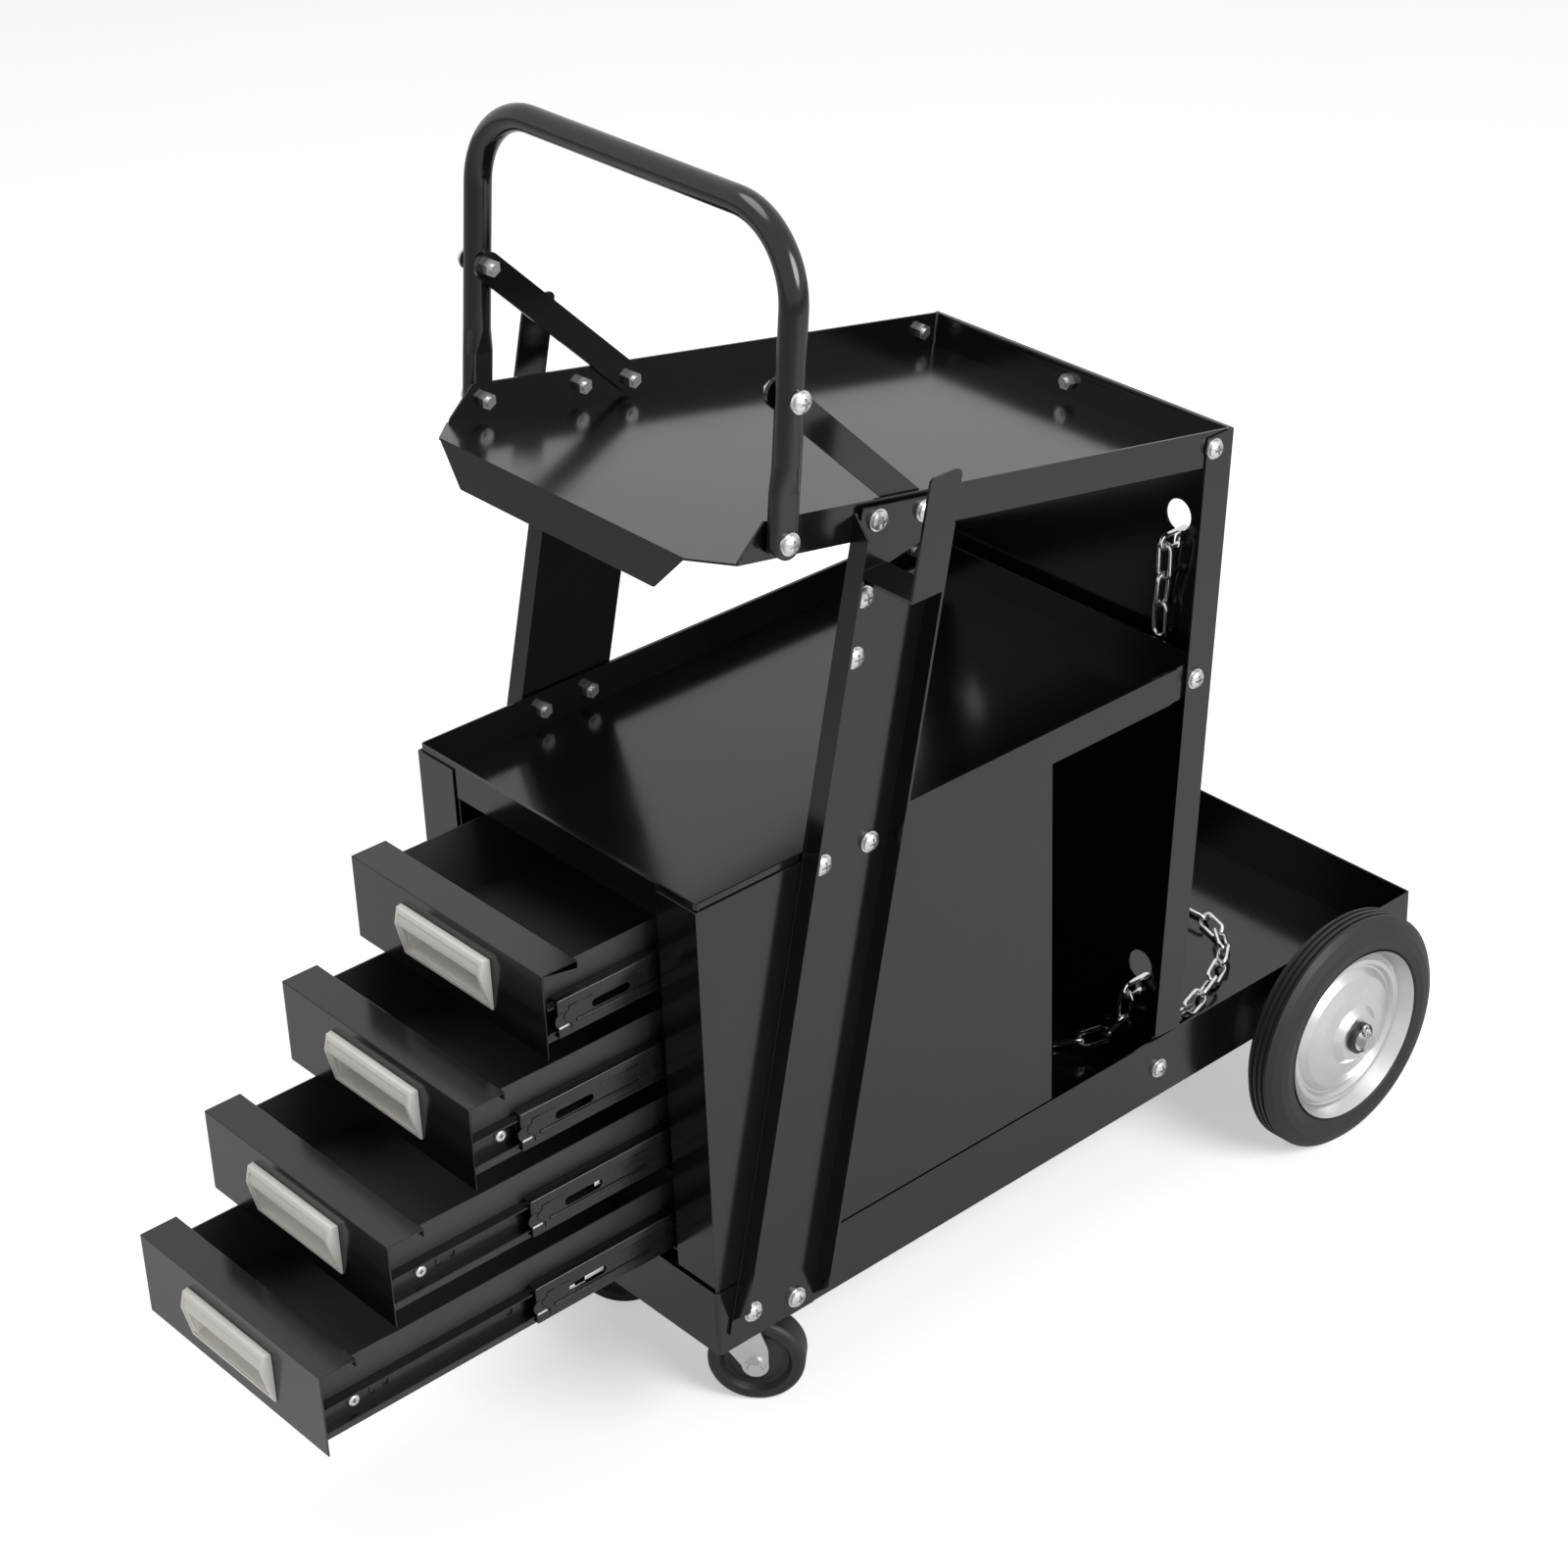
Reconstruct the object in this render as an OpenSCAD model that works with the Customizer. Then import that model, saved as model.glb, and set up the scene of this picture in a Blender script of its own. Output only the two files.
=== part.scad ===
// Welding cart: a four-drawer cabinet on a long base tray that carries gas bottles,
// with a shelf pan on the cabinet, a sloping tray on two struts and a push handle.
// X is the width, -Y the drawer side, +Y the bottle side, Z up. Millimetres.

/* [Base tray] */
// Width over the base rails, the cabinet sides and the tray rims
body_w = 282; // [250:1:330]
// Depth of the base from its front rail to its rear rail
base_depth = 694; // [600:1:820]
// Height of the underside of the base above the ground
base_clear = 100; // [96:1:125]
// Height of the rail round the base
rail_h = 50; // [44:1:60]
// Sheet of the base and of the top tray
base_sheet = 1.5; // [1:0.1:2]
// Radius of the base's upright corners
base_corner_r = 3; // [2:0.5:6]

/* [Cabinet] */
// Depth of the drawer cabinet
cab_depth = 306; // [300:1:360]
// Sheet of the cabinet panels, the shelf pan and the rear panel
sheet = 1.2; // [0.9:0.1:1.5]
// Width of the front stiles beside the drawers
stile_w = 37.5; // [30:0.5:46]
// Gap between the rail and the lowest drawer front
sill_gap = 4.2; // [3:0.1:6]
// Gap between the highest drawer front and the shelf pan
head_gap = 5.1; // [4:0.1:8]
// Depth of the open bay behind the cabinet, at the top of the rail
bay_depth = 127; // [105:1:155]

/* [Shelf pan] */
// Height of the rim round the shelf pan
pan_rim = 25.5; // [22:0.5:30]
// How far the side panels stop below the rim of the pan
pan_step = 5; // [4:0.5:7]

/* [Rear panel] */
// Lean of the rear panel, degrees from upright
panel_lean = 5; // [3:0.5:7]
// Width of the folded posts at its sides
post_w = 24; // [20:0.5:29]
// Diameter of the keyholes' round part
keyhole_d = 22.5; // [19:0.5:26]
// Width of the keyholes' slot
keyhole_slot_w = 6; // [5:0.5:7]
// Reach of the slot below the round part's centre
keyhole_reach = 24; // [21:0.5:28]
// Distance of the keyholes from the middle of the panel
keyhole_x = 101.5; // [85:0.5:118]
// Height of the lower keyholes above the rail
keyhole_low = 34.5; // [31:0.5:41]
// Distance from the lower to the upper keyholes
keyhole_pitch = 351; // [300:1:380]

/* [Top tray] */
// Height from the shelf pan's rim to the top tray's rear rim
tray_rise = 163.5; // [140:0.5:195]
// Slope of the top tray, degrees
tray_tilt = 10; // [8:0.5:12]
// Length of the top tray along its slope
tray_l = 452; // [390:1:520]
// Height of the top tray's rim
tray_rim = 25; // [22:0.5:30]
// Length of the slanted front corners
tray_corner = 22; // [18:1:26]
// Height of the front lip that bends down
lip_h = 25; // [20:0.5:30]
// How far the lip narrows at each end
lip_taper = 25; // [18:1:30]

/* [Struts] */
// Lean of the struts, degrees from upright
strut_lean = 13.3; // [11.5:0.1:15]
// Width of a strut
strut_w = 75; // [66:0.5:88]
// Depth of its flanges
strut_d = 15; // [12:0.5:18]
// Sheet of the struts and hooks
strut_sheet = 2; // [1.6:0.1:2.4]
// Distance of the strut's foot from the base's front
strut_y = 10; // [8:0.5:12]
// Height of the foot of the flanges above the base's underside
strut_z = 23; // [19:0.5:27]

/* [Cable hooks] */
// Reach of a hook from the strut
hook_reach = 52; // [44:0.5:60]
// Width of a hook
hook_w = 26; // [22:0.5:31]
// Height of its arm
hook_h = 76; // [64:0.5:88]

/* [Handle] */
// Diameter of the handle tube
tube_d = 17.6; // [15:0.2:20]
// Wall of the handle tube
tube_wall = 1.5; // [1.2:0.1:1.8]
// Height of the grip above the handle's lower bolts
grip_h = 193; // [165:1:229]
// Radius of the handle's bends at the tube's centre
handle_bend_r = 52; // [44:1:60]
// Lean of the handle, degrees from upright
handle_lean = 5.9; // [5:0.1:7]
// Distance of the handle's feet from the tray's front edge
handle_set = 50; // [44:1:58]
// Height of the brace bolts above the lower bolts
brace_rise = 89; // [75:1:105]
// Width of the braces
brace_w = 19; // [17:0.5:23]
// Thickness of the braces
brace_t = 3; // [2.5:0.1:3.5]

/* [Drawers] */
// Height of a drawer front
front_h = 60.3; // [55:0.1:65]
// Distance from one drawer to the next
drawer_pitch = 66.9; // [65:0.1:78]
// Gap between a drawer front and the stile at each side
front_gap = 5; // [4:0.5:6]
// Depth of the flange folded back along a front's top
front_flange = 27; // [23:0.5:31]
// How far a front hangs below its box
front_drop = 11; // [9:0.5:12]
// Depth of a drawer box
box_depth = 288; // [250:1:290]
// Sheet of the drawer boxes and fronts
drawer_sheet = 1; // [0.8:0.1:1.2]
// How far the first drawer from the top stands open
open_1 = 86; // [0:1:290]
// How far the second drawer stands open
open_2 = 147; // [0:1:290]
// How far the third drawer stands open
open_3 = 214; // [0:1:290]
// How far the fourth drawer stands open
open_4 = 271; // [0:1:290]

/* [Drawer pulls] */
// Width of a pull
pull_w = 92; // [78:1:105]
// Height of a pull
pull_h = 37; // [32:0.5:42]
// How far its hood stands out
pull_out = 8; // [7:0.5:9.5]
// Depth of its recess behind the front
pull_recess = 12; // [10:0.5:14]

/* [Slides] */
// Thickness of a closed slide
slide_t = 12.7; // [12.2:0.1:13.2]
// Length of the member fixed to the cabinet
slide_l = 290; // [250:1:292]
// Height of the member fixed to the cabinet
slide_h = 35; // [33:0.5:38]
// Length of the middle member
middle_l = 258; // [240:1:270]
// How far the middle members of the first drawer stand out
middle_1 = 80; // [0:1:125]
// How far the middle members of the second drawer stand out
middle_2 = 114; // [0:1:125]
// How far the middle members of the third drawer stand out
middle_3 = 112; // [0:1:125]
// How far the middle members of the fourth drawer stand out
middle_4 = 114; // [0:1:125]

/* [Rear wheels] */
// Diameter of a rear wheel
wheel_d = 187; // [180:1:195]
// Width of its tyre
tyre_w = 32; // [27:1:37]
// Diameter of the rim's outer lip
rim_d = 135; // [125:1:145]
// Distance of the axle from the base's rear end
axle_set = 112.5; // [100:0.5:130]
// Diameter of the axle
axle_d = 12; // [10:0.5:13]
// Gap between the rail and a tyre
wheel_gap = 14; // [12:0.5:17]

/* [Casters] */
// Diameter of a caster wheel
caster_d = 67; // [60:1:75]
// Width of a caster wheel
caster_w = 24; // [20:0.5:28]
// Trail of the wheel behind the swivel pin
caster_trail = 25; // [21:0.5:28]
// Distance of the swivel pins from the base's sides
caster_set = 68; // [65:1:80]
// Distance of the swivel pins from the base's front
caster_y = 55; // [46:1:65]
// Heading of the casters, degrees
caster_turn = 43.5; // [0:0.5:90]

/* [Bolts and chains] */
// Diameter of the bolts
bolt_d = 6; // [5:0.5:6.5]
// Diameter of the bolt heads
head_d = 12; // [10:0.5:13]
// Diameter of the washers
washer_d = 14.5; // [13:0.5:15]
// Diameter of the chain's wire
wire_d = 3.4; // [3:0.1:3.8]
// Length of a chain link
link_l = 29.9; // [27:0.1:33]
// Width of a chain link
link_w = 14; // [12.5:0.1:15]

/* [Hidden] */
$fn = 64;
over = 1;
gap = 0.3;
fit = 0.1;
black = [0.09, 0.09, 0.1];
zinc = [0.72, 0.73, 0.75];
steel = [0.5, 0.51, 0.53];
rubber = [0.05, 0.05, 0.05];
grey = [0.83, 0.81, 0.77];
half_w = body_w / 2;
caster_x = half_w - caster_set;

// Frame: the origin is below the middle of the cart as it stands, drawers open
drawer_open = [open_1, open_2, open_3, open_4];
middle_out = [middle_1, middle_2, middle_3, middle_4];
frame_mid = (base_depth - max(drawer_open) - pull_out) / 2;
module cart() translate([0, -frame_mid, base_clear]) children();

// Cabinet, from the base's underside and its front
front_z0 = rail_h + sill_gap;
pan_z = front_z0 + 3 * drawer_pitch + front_h + head_gap;
pan_top = pan_z + pan_rim;
panel_gap = 1.6;
rim_in = half_w - base_sheet;
pan_half = half_w - sheet - fit;
pan_in = pan_half - sheet;
panel_z0 = rail_h + panel_gap;
lip_out = rim_in - fit;
lip_l = 12;
opening_half = half_w - stile_w;
wall_inset = 3;
wall_half = opening_half - wall_inset;
wall_flange = 14;
sill_z = panel_z0 + sheet + fit;
strip_gap = 6.5;
strip_r = 8;
pan_set = 8;
pan_notch = 8;
pan_notch_r = 5;

// Rear panel: its front face leans back from the rail's top
function panel_y(z) = cab_depth + bay_depth + (z - rail_h) * tan(panel_lean);
tray_z = pan_top + tray_rise;
tray_y = panel_y(tray_z) - fit;
pan_back = panel_y(pan_z) - pan_set;
strip_end = panel_y(pan_z) - post_w - strip_gap;
panel_foot_z = base_sheet + gap;
foot_half = lip_out;
step_z = sheet;
ledge_y = panel_y(rail_h) - post_w - gap;
ledge_z = rail_h + step_z + sheet + post_w * sin(panel_lean) + gap;
module on_panel() translate([0, panel_y(rail_h), rail_h]) rotate([-panel_lean, 0, 0]) children();

// Top tray: a is the way along its slope from the rear, n the way up from its rim
module on_tray() translate([0, tray_y, tray_z]) rotate([-tray_tilt, 0, 0]) children();
function tray_pt(a, n) = [
    tray_y - a * cos(tray_tilt) + n * sin(tray_tilt),
    tray_z + a * sin(tray_tilt) + n * cos(tray_tilt)];
rim_mid = tray_rim * 0.46;
rim_slant = 0.72 * tray_rim;
tray_full = tray_l - tray_corner;

// Struts: bolts stand in two columns, measured from the strut's front edge
web_foot = base_sheet;
web_drop = 1.5;
web_toe = 9;
web_r = 2.5;
flange_drop = 2 * web_r;
flange_cut = 0.85 * strut_d;
column_a = strut_w * 0.22;
column_b = strut_w * 0.75;
function strut_front(z) = strut_y + (z - strut_z) * tan(strut_lean);
function strut_hole(column, z) = [strut_front(z) + column, z];
function rim_cross(column, drop) =
    (tray_z - drop / cos(tray_tilt)
        + (tray_y - strut_y - column + strut_z * tan(strut_lean)) * tan(tray_tilt))
    / (1 + tan(strut_lean) * tan(tray_tilt));
function strut_top(column, drop) = strut_hole(column, rim_cross(column, drop));
function strut_foot(column, drop) =
    strut_hole(column, strut_z - drop - column * sin(strut_lean) * cos(strut_lean));
step_y = strut_front(pan_top) + 0.6 * strut_w;
pan_mid = pan_z + pan_rim * 0.52;
foot_z = strut_z + 1;
foot_a = strut_hole(column_a, foot_z);
foot_b = strut_hole(column_b, foot_z - (column_b - column_a) * tan(strut_lean));
mid_a = strut_hole(column_a, pan_mid);
mid_b = strut_hole(column_b, pan_mid);
top_a = strut_top(column_a, rim_mid);
top_b = strut_top(column_b, rim_mid);
spare_low = strut_hole(column_a, pan_top + 0.745 * tray_rise);
spare_high = strut_hole(column_a, pan_top + 0.98 * tray_rise);

// Hooks
hook_set = 3;
hook_in = 5;
hook_drop = 32.5;
hook_r = 4.5;
hook_z = top_a[1] - hook_drop;
function hook_front(z) = strut_front(z) + hook_in;
strut_face = half_w + strut_sheet;
hook_face = strut_face + strut_sheet;

// The handle stands outside the tray's rim, the braces inside it
handle_foot = tray_pt(tray_l - handle_set, -rim_mid);
brace_out = rim_in - gap;
brace_in = brace_out - brace_t;
leg_x = brace_out + tube_d / 2;
leg_end = 0.6 * tube_d;
flat_t = 0.68 * tube_d;
flat_w = 1.18 * tube_d;
flat_x = half_w + flat_t / 2;
flat_l = 1.75 * tube_d;
press_l = 0.9 * tube_d;
brace_top = [
    handle_foot[0] + brace_rise * sin(handle_lean),
    handle_foot[1] + brace_rise * cos(handle_lean)];
module on_handle() {
    translate([0, handle_foot[0], handle_foot[1]]) rotate([-handle_lean, 0, 0]) children();
}

// Posts' bolts stand near the posts' front edges
post_inset = 0.3 * post_w;
function post_hole(z) = [panel_y(z) - post_w + post_inset, z];
post_low = post_hole(rail_h / 2);
post_mid = post_hole(pan_mid);
post_top = tray_pt((post_w - post_inset) / cos(tray_tilt), -rim_mid);
post_face = half_w + sheet;
tie_x = -6;

// Bolted stacks: place, outer face and inner face
washer_t = 0.11 * washer_d;
head_h = 0.33 * head_d;
nut_h = 0.85 * bolt_d;
nut_af = 1.67 * bolt_d;
tip_l = 0.3 * bolt_d;
hole_d = bolt_d + 0.5 * washer_t;
recess_w = 0.14 * head_d;
recess_l = 0.58 * head_d;
side_stack = [
    [foot_a, strut_face, rim_in],
    [foot_b, strut_face, rim_in],
    [mid_a, strut_face, pan_in],
    [mid_b, strut_face, pan_in],
    [post_low, half_w, foot_half - sheet],
    [post_mid, post_face, pan_in],
    [post_top, post_face, rim_in],
    [top_a, hook_face, rim_in],
    [top_b, hook_face, brace_in],
    [handle_foot, half_w + flat_t, rim_in],
    [brace_top, leg_x + tube_d / 2, brace_in]];
spare_stack = [
    [spare_low, strut_face, half_w],
    [spare_high, strut_face, half_w]];

// Rear wheels stand on the ground, their axle just below the base
axle_y = base_depth - axle_set;
axle_z = wheel_d / 2 - base_clear;
wheel_x = half_w + wheel_gap + tyre_w / 2;
rim_r = rim_d / 2;
rim_t = 1.6;
hub_half = 0.56 * tyre_w;
bush_d = 1.75 * axle_d;
bush_out = 0.09 * tyre_w;
axle_washer_d = 1.5 * axle_d;
axle_washer_t = 1.5;
wheel_end = wheel_x + hub_half + bush_out;
pin_d = 0.21 * axle_d;
pin_x = wheel_end + axle_washer_t + gap + pin_d / 2;
axle_end = pin_x + 0.42 * axle_d;
bracket_t = 2 * base_sheet;
bracket_w = 3.4 * axle_d;
bracket_x = 0.78 * half_w;
bracket_l = 1.6 * axle_d;
groove_w = 2.2;
groove_t = 1.6;

// Casters
caster_r = caster_d / 2;
caster_z = caster_r - base_clear;
plate_t = 2 * base_sheet;
plate_w = 0.93 * caster_d;
plate_bolt = 0.31 * plate_w;
race_d = 0.6 * caster_d;
race_h = 0.11 * caster_d;
race_z = -plate_t - race_h;
crown_z = race_z - gap;
crown_t = 2.4;
kingpin_d = 10;
kingpin_head = 15;
kingpin_head_t = 3;
fork_t = 2.4;
fork_in = caster_w / 2 + 1.5;
caster_axle_d = 8;
leg_r = 1.15 * caster_axle_d;
caster_hub_r = 0.3 * caster_r;
caster_dish = 0.18 * caster_w;
caster_edge_r = 0.2 * caster_w;

// Drawers, from the outer face of a front and its lower edge
front_half = opening_half - front_gap;
flange_lip = 6 * drawer_sheet;
box_half = wall_half - slide_t;
box_top = front_h - 6 * drawer_sheet;
box_tab = 12;
pull_z = front_h / 2;
pull_t = 1.6;
pull_frame = 2.2;

// Slide members, from the cabinet's wall to the drawer's side
slide_y = 4;
slide_z = front_drop + 0.36 * slide_h;
member_t = 1.2;
middle_h = 0.786 * slide_h;
inner_h = 0.55 * slide_h;
cabinet_reach = 0.8 * slide_t;
middle_set = 0.2 * slide_t;
middle_reach = 0.62 * slide_t;
inner_reach = 0.62 * slide_t;
inner_l = min(slide_l, box_depth) - slide_y;
ball_room = 0.12;
ball_a = (slide_h - middle_h) / 2 - member_t;
ball_b = (middle_h - inner_h) / 2 - member_t;
ball_count = 7;
ball_run = 0.34;
slot_l = 19;
slot_h = 5;
slot_set = 10;
screw_d = 7;
screw_t = 1.6;

// Chains: each link is a bent wire, and joints of neighbouring links share a point
slack = 0.5;
link_r = (link_w - wire_d) / 2;
link_half = (link_l - link_w) / 2;
link_pitch = link_l - 2 * wire_d - slack;
joint_set = link_half + link_r - link_pitch / 2;
keyhole_high = keyhole_low + keyhole_pitch;
function hole_z(h) = rail_h + h * cos(panel_lean);
function slot_place(h) =
    let (z = hole_z(h) - keyhole_reach + link_w / 2 + slack)
    [keyhole_x, panel_y(z) - wire_d / 2, z];
slot_low = slot_place(keyhole_low);
slot_high = slot_place(keyhole_high);
seat_r = link_r - wire_d - slack / 2;
hang_y = link_half + seat_r * sin(60);
hang_z = -seat_r * cos(60) - joint_set;
lie_z = base_sheet + link_r * sin(45) + wire_d / 2 + gap;

// Corner i of outline p turned by radius r, as points of an arc
function turned(p, r, i, steps = 5) =
    let (n = len(p), b = p[i],
        a = p[(i + n - 1) % n], c = p[(i + 1) % n],
        u = (a - b) / norm(a - b), v = (c - b) / norm(c - b),
        half = acos(u * v) / 2,
        mid = b + (u + v) / norm(u + v) * r / sin(half),
        from = b + u * r / tan(half) - mid, to = b + v * r / tan(half) - mid,
        start = atan2(from[1], from[0]),
        sweep = ((atan2(to[1], to[0]) - start + 540) % 360) - 180)
    [for (k = [0 : steps]) mid + r * [cos(start + sweep * k / steps), sin(start + sweep * k / steps)]];

// Outline p with corner i rounded by radii[i]
function rounded(p, radii) =
    [for (i = [0 : len(p) - 1]) each (radii[i] > 0 ? turned(p, radii[i], i) : [p[i]])];

// A rectangle from y = 0 back, with round corners
module round_rect(w, d, r) {
    translate([r - w / 2, 0]) square([w - 2 * r, d]);
    translate([-w / 2, r]) square([w, d - 2 * r]);
    for (x = [-1, 1], y = [r, d - r]) translate([x * (w / 2 - r), y]) circle(r);
}

// A plate drawn in depth and height, from x outward
module plate_x(x, t) translate([x, 0, 0]) rotate([90, 0, 90]) linear_extrude(t) children();

// A plate drawn in width and height, from y rearward
module plate_y(y, t) translate([0, y + t, 0]) rotate([90, 0, 0]) linear_extrude(t) children();

// A box between two corners
module box(low, high) translate(low) cube(high - low);

module both() {
    children();
    mirror([1, 0, 0]) children();
}

// A hole through the whole width, at a place in depth and height
module hole_x(place, d) {
    translate([0, place[0], place[1]]) rotate([0, 90, 0])
        cylinder(d = d, h = body_w + 4 * strut_d, center = true);
}

module bolt_holes(places) for (place = places) hole_x(place, hole_d);

// Base
module base_tray() color(black) cart() difference() {
    linear_extrude(rail_h) round_rect(body_w, base_depth, base_corner_r);
    translate([0, base_sheet, base_sheet]) linear_extrude(rail_h)
        round_rect(body_w - 2 * base_sheet, base_depth - 2 * base_sheet, base_corner_r - base_sheet);
    bolt_holes([foot_a, foot_b, post_low]);
    at_plate_bolts() cylinder(d = hole_d, h = 4 * base_sheet, center = true);
}

// Saddles welded under the base, which carry the axle
module axle_brackets() color(black) cart() both() difference() {
    plate_x(bracket_x - bracket_l / 2, bracket_l) union() {
        translate([axle_y - bracket_w / 2, -bracket_t]) square([bracket_w, bracket_t]);
        translate([axle_y - axle_d / 2 - bracket_t, axle_z]) square([axle_d + 2 * bracket_t, -axle_z]);
        translate([axle_y, axle_z]) circle(d = axle_d + 2 * bracket_t);
    }
    hole_x([axle_y, axle_z], axle_d);
    box([-body_w, axle_y - bracket_w, 0], [body_w, axle_y + bracket_w, bracket_w]);
}

// Cabinet
module side_panel(outline) {
    difference() {
        plate_x(half_w - sheet, sheet) polygon(outline);
        bolt_holes([mid_a, mid_b, post_mid]);
    }
    box([opening_half, 0, front_z0], [half_w, sheet, pan_top - pan_step]);
}

module panel_lip(back) {
    box([lip_out - sheet, base_corner_r, panel_z0 - lip_l], [lip_out, back, panel_z0 + sheet]);
    box([lip_out - sheet, sheet, panel_z0], [half_w, back, panel_z0 + sheet]);
}

panel_front = [
    [step_y, pan_top],
    [step_y, pan_top - pan_step],
    [0, pan_top - pan_step],
    [0, panel_z0]];

module right_side_panel() color(black) cart() {
    side_panel(rounded(
        concat(panel_front, [
            [cab_depth, panel_z0],
            [cab_depth, pan_z],
            [strip_end, pan_z],
            [strip_end, pan_top]]),
        [0, 0, 0, 0, 0, 0, strip_r, 0]));
    panel_lip(cab_depth);
}

module left_side_panel() color(black) cart() mirror([1, 0, 0]) {
    side_panel(concat(panel_front, [
        [ledge_y, panel_z0],
        [ledge_y, ledge_z],
        [panel_y(ledge_z) - gap, ledge_z],
        [panel_y(pan_top) - gap, pan_top]]));
    panel_lip(panel_y(rail_h) - post_w - strip_gap);
}

module cabinet_back() color(black) cart() {
    low_half = lip_out - sheet - fit;
    difference() {
        plate_y(cab_depth - sheet, sheet) polygon([
            [-low_half, base_sheet + fit],
            [low_half, base_sheet + fit],
            [low_half, sill_z],
            [pan_half, sill_z],
            [pan_half, pan_z - fit],
            [-pan_half, pan_z - fit],
            [-pan_half, sill_z],
            [-low_half, sill_z]]);
        box([-opening_half, 0, sill_z], [opening_half, base_depth, pan_z + over]);
    }
    both() box([pan_half - sheet, cab_depth - wall_flange, sill_z], [pan_half, cab_depth, pan_z - fit]);
}

module slide_wall() color(black) cart() {
    front = base_sheet + fit;
    back = cab_depth - sheet - fit;
    low = base_sheet + fit;
    high = pan_z - fit;
    box([wall_half, front, low], [wall_half + sheet, back, high]);
    box([wall_half, front, low], [wall_half + wall_flange, back, low + sheet]);
    box([wall_half, front, front_z0], [wall_half + wall_flange, front + sheet, high]);
    box([wall_half, back - sheet, front_z0], [wall_half + wall_flange, back, high]);
}

module right_slide_wall() slide_wall();
module left_slide_wall() mirror([1, 0, 0]) slide_wall();

// Shelf pan, with a strip between the stiles that closes its front flush with them
module shelf_pan() color(black) cart() difference() {
    front = sheet + fit;
    union() {
        difference() {
            translate([0, front, pan_z]) linear_extrude(pan_rim)
                round_rect(2 * pan_half, pan_back - front, base_corner_r);
            translate([0, front + sheet, pan_z + sheet]) linear_extrude(pan_rim)
                round_rect(2 * pan_in, pan_back - front - 2 * sheet, base_corner_r - sheet);
        }
        plate_y(0, front + sheet) polygon(rounded([
            [pan_notch - opening_half, pan_z + sheet],
            [opening_half - gap, pan_z + sheet],
            [opening_half - gap, pan_top],
            [pan_notch - opening_half, pan_top]],
            [0, 0, 0, pan_notch_r]));
    }
    bolt_holes([mid_a, mid_b, post_mid]);
}

// Rear panel, folded forward at its sides, its foot joggled to stand inside the rails
module keyhole(h) translate([keyhole_x, 0, h]) rotate([90, 0, 0]) {
    cylinder(d = keyhole_d, h = 4 * sheet, center = true);
    translate([0, keyhole_slot_w / 2 - keyhole_reach, 0])
        cylinder(d = keyhole_slot_w, h = 4 * sheet, center = true);
    translate([-keyhole_slot_w / 2, keyhole_slot_w / 2 - keyhole_reach, -2 * sheet])
        cube([keyhole_slot_w, keyhole_reach - keyhole_slot_w / 2, 4 * sheet]);
}

module rear_panel() color(black) cart() difference() {
    foot = -rail_h;
    top = 2 * rail_h + tray_z;
    on_panel() difference() {
        union() {
            box([-foot_half, 0, foot], [foot_half, sheet, step_z]);
            box([-post_face, 0, step_z], [post_face, sheet, top]);
            both() {
                box([foot_half - sheet, -post_w, foot], [foot_half, sheet, step_z + sheet]);
                box([foot_half - sheet, -post_w, step_z], [post_face, sheet, step_z + sheet]);
                box([half_w, -post_w, step_z], [post_face, sheet, top]);
            }
        }
        both() for (h = [keyhole_low, keyhole_high]) keyhole(h);
    }
    box([-body_w, 0, -body_w], [body_w, base_depth, panel_foot_z]);
    box([-body_w, 0, tray_z], [body_w, 2 * base_depth, 2 * tray_z + 4 * rail_h]);
    bolt_holes([post_low, post_mid, post_top]);
    tie_hole();
}

// The bolt in the middle that ties the tray's rear rim to the rear panel
module at_tie() on_tray() translate([tie_x, 0, -rim_mid]) rotate([-90, 0, 0]) children();
module tie_hole() at_tie() cylinder(d = hole_d, h = 8 * base_sheet, center = true);

// Top tray
module top_tray() color(black) cart() difference() {
    on_tray() {
        difference() {
            translate([0, -tray_full, -tray_rim]) linear_extrude(tray_rim)
                round_rect(body_w, tray_full, base_corner_r);
            translate([0, -tray_full - over, base_sheet - tray_rim]) linear_extrude(tray_rim)
                round_rect(2 * rim_in, tray_full + over - base_sheet, base_corner_r - base_sheet);
            plate_x(-body_w, 2 * body_w) polygon([
                [-tray_full - over, -tray_rim + base_sheet],
                [-tray_full, -tray_rim + base_sheet],
                [rim_slant - tray_full, 0],
                [rim_slant - tray_full, over],
                [-tray_full - over, over]]);
        }
        translate([0, 0, -tray_rim]) linear_extrude(base_sheet) polygon([
            [half_w, -tray_full + base_corner_r],
            [half_w, -tray_full],
            [half_w - tray_corner, -tray_l],
            [tray_corner - half_w, -tray_l],
            [-half_w, -tray_full],
            [-half_w, -tray_full + base_corner_r]]);
        plate_y(-tray_l, base_sheet) polygon([
            [tray_corner - half_w, base_sheet - tray_rim],
            [tray_corner + lip_taper - half_w, -tray_rim - lip_h],
            [half_w - tray_corner - lip_taper, -tray_rim - lip_h],
            [half_w - tray_corner, base_sheet - tray_rim]]);
    }
    bolt_holes([post_top, top_a, top_b, handle_foot]);
    tie_hole();
}

// Struts: leaning channels, their flanges bevelled at both ends
module strut_flange(column) {
    wide = strut_sheet / cos(strut_lean);
    low = strut_foot(column, 0)[1];
    high = rim_cross(column, web_drop) - flange_drop;
    intersection() {
        plate_x(half_w + fit, strut_d - fit) polygon([
            strut_hole(column, low - over),
            strut_hole(column + wide, low - over),
            strut_hole(column + wide, high + over),
            strut_hole(column, high + over)]);
        plate_y(-over, base_depth) polygon([
            [half_w, low],
            [half_w + strut_d, low + flange_cut],
            [half_w + strut_d, high - flange_cut],
            [half_w, high]]);
    }
}

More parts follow.
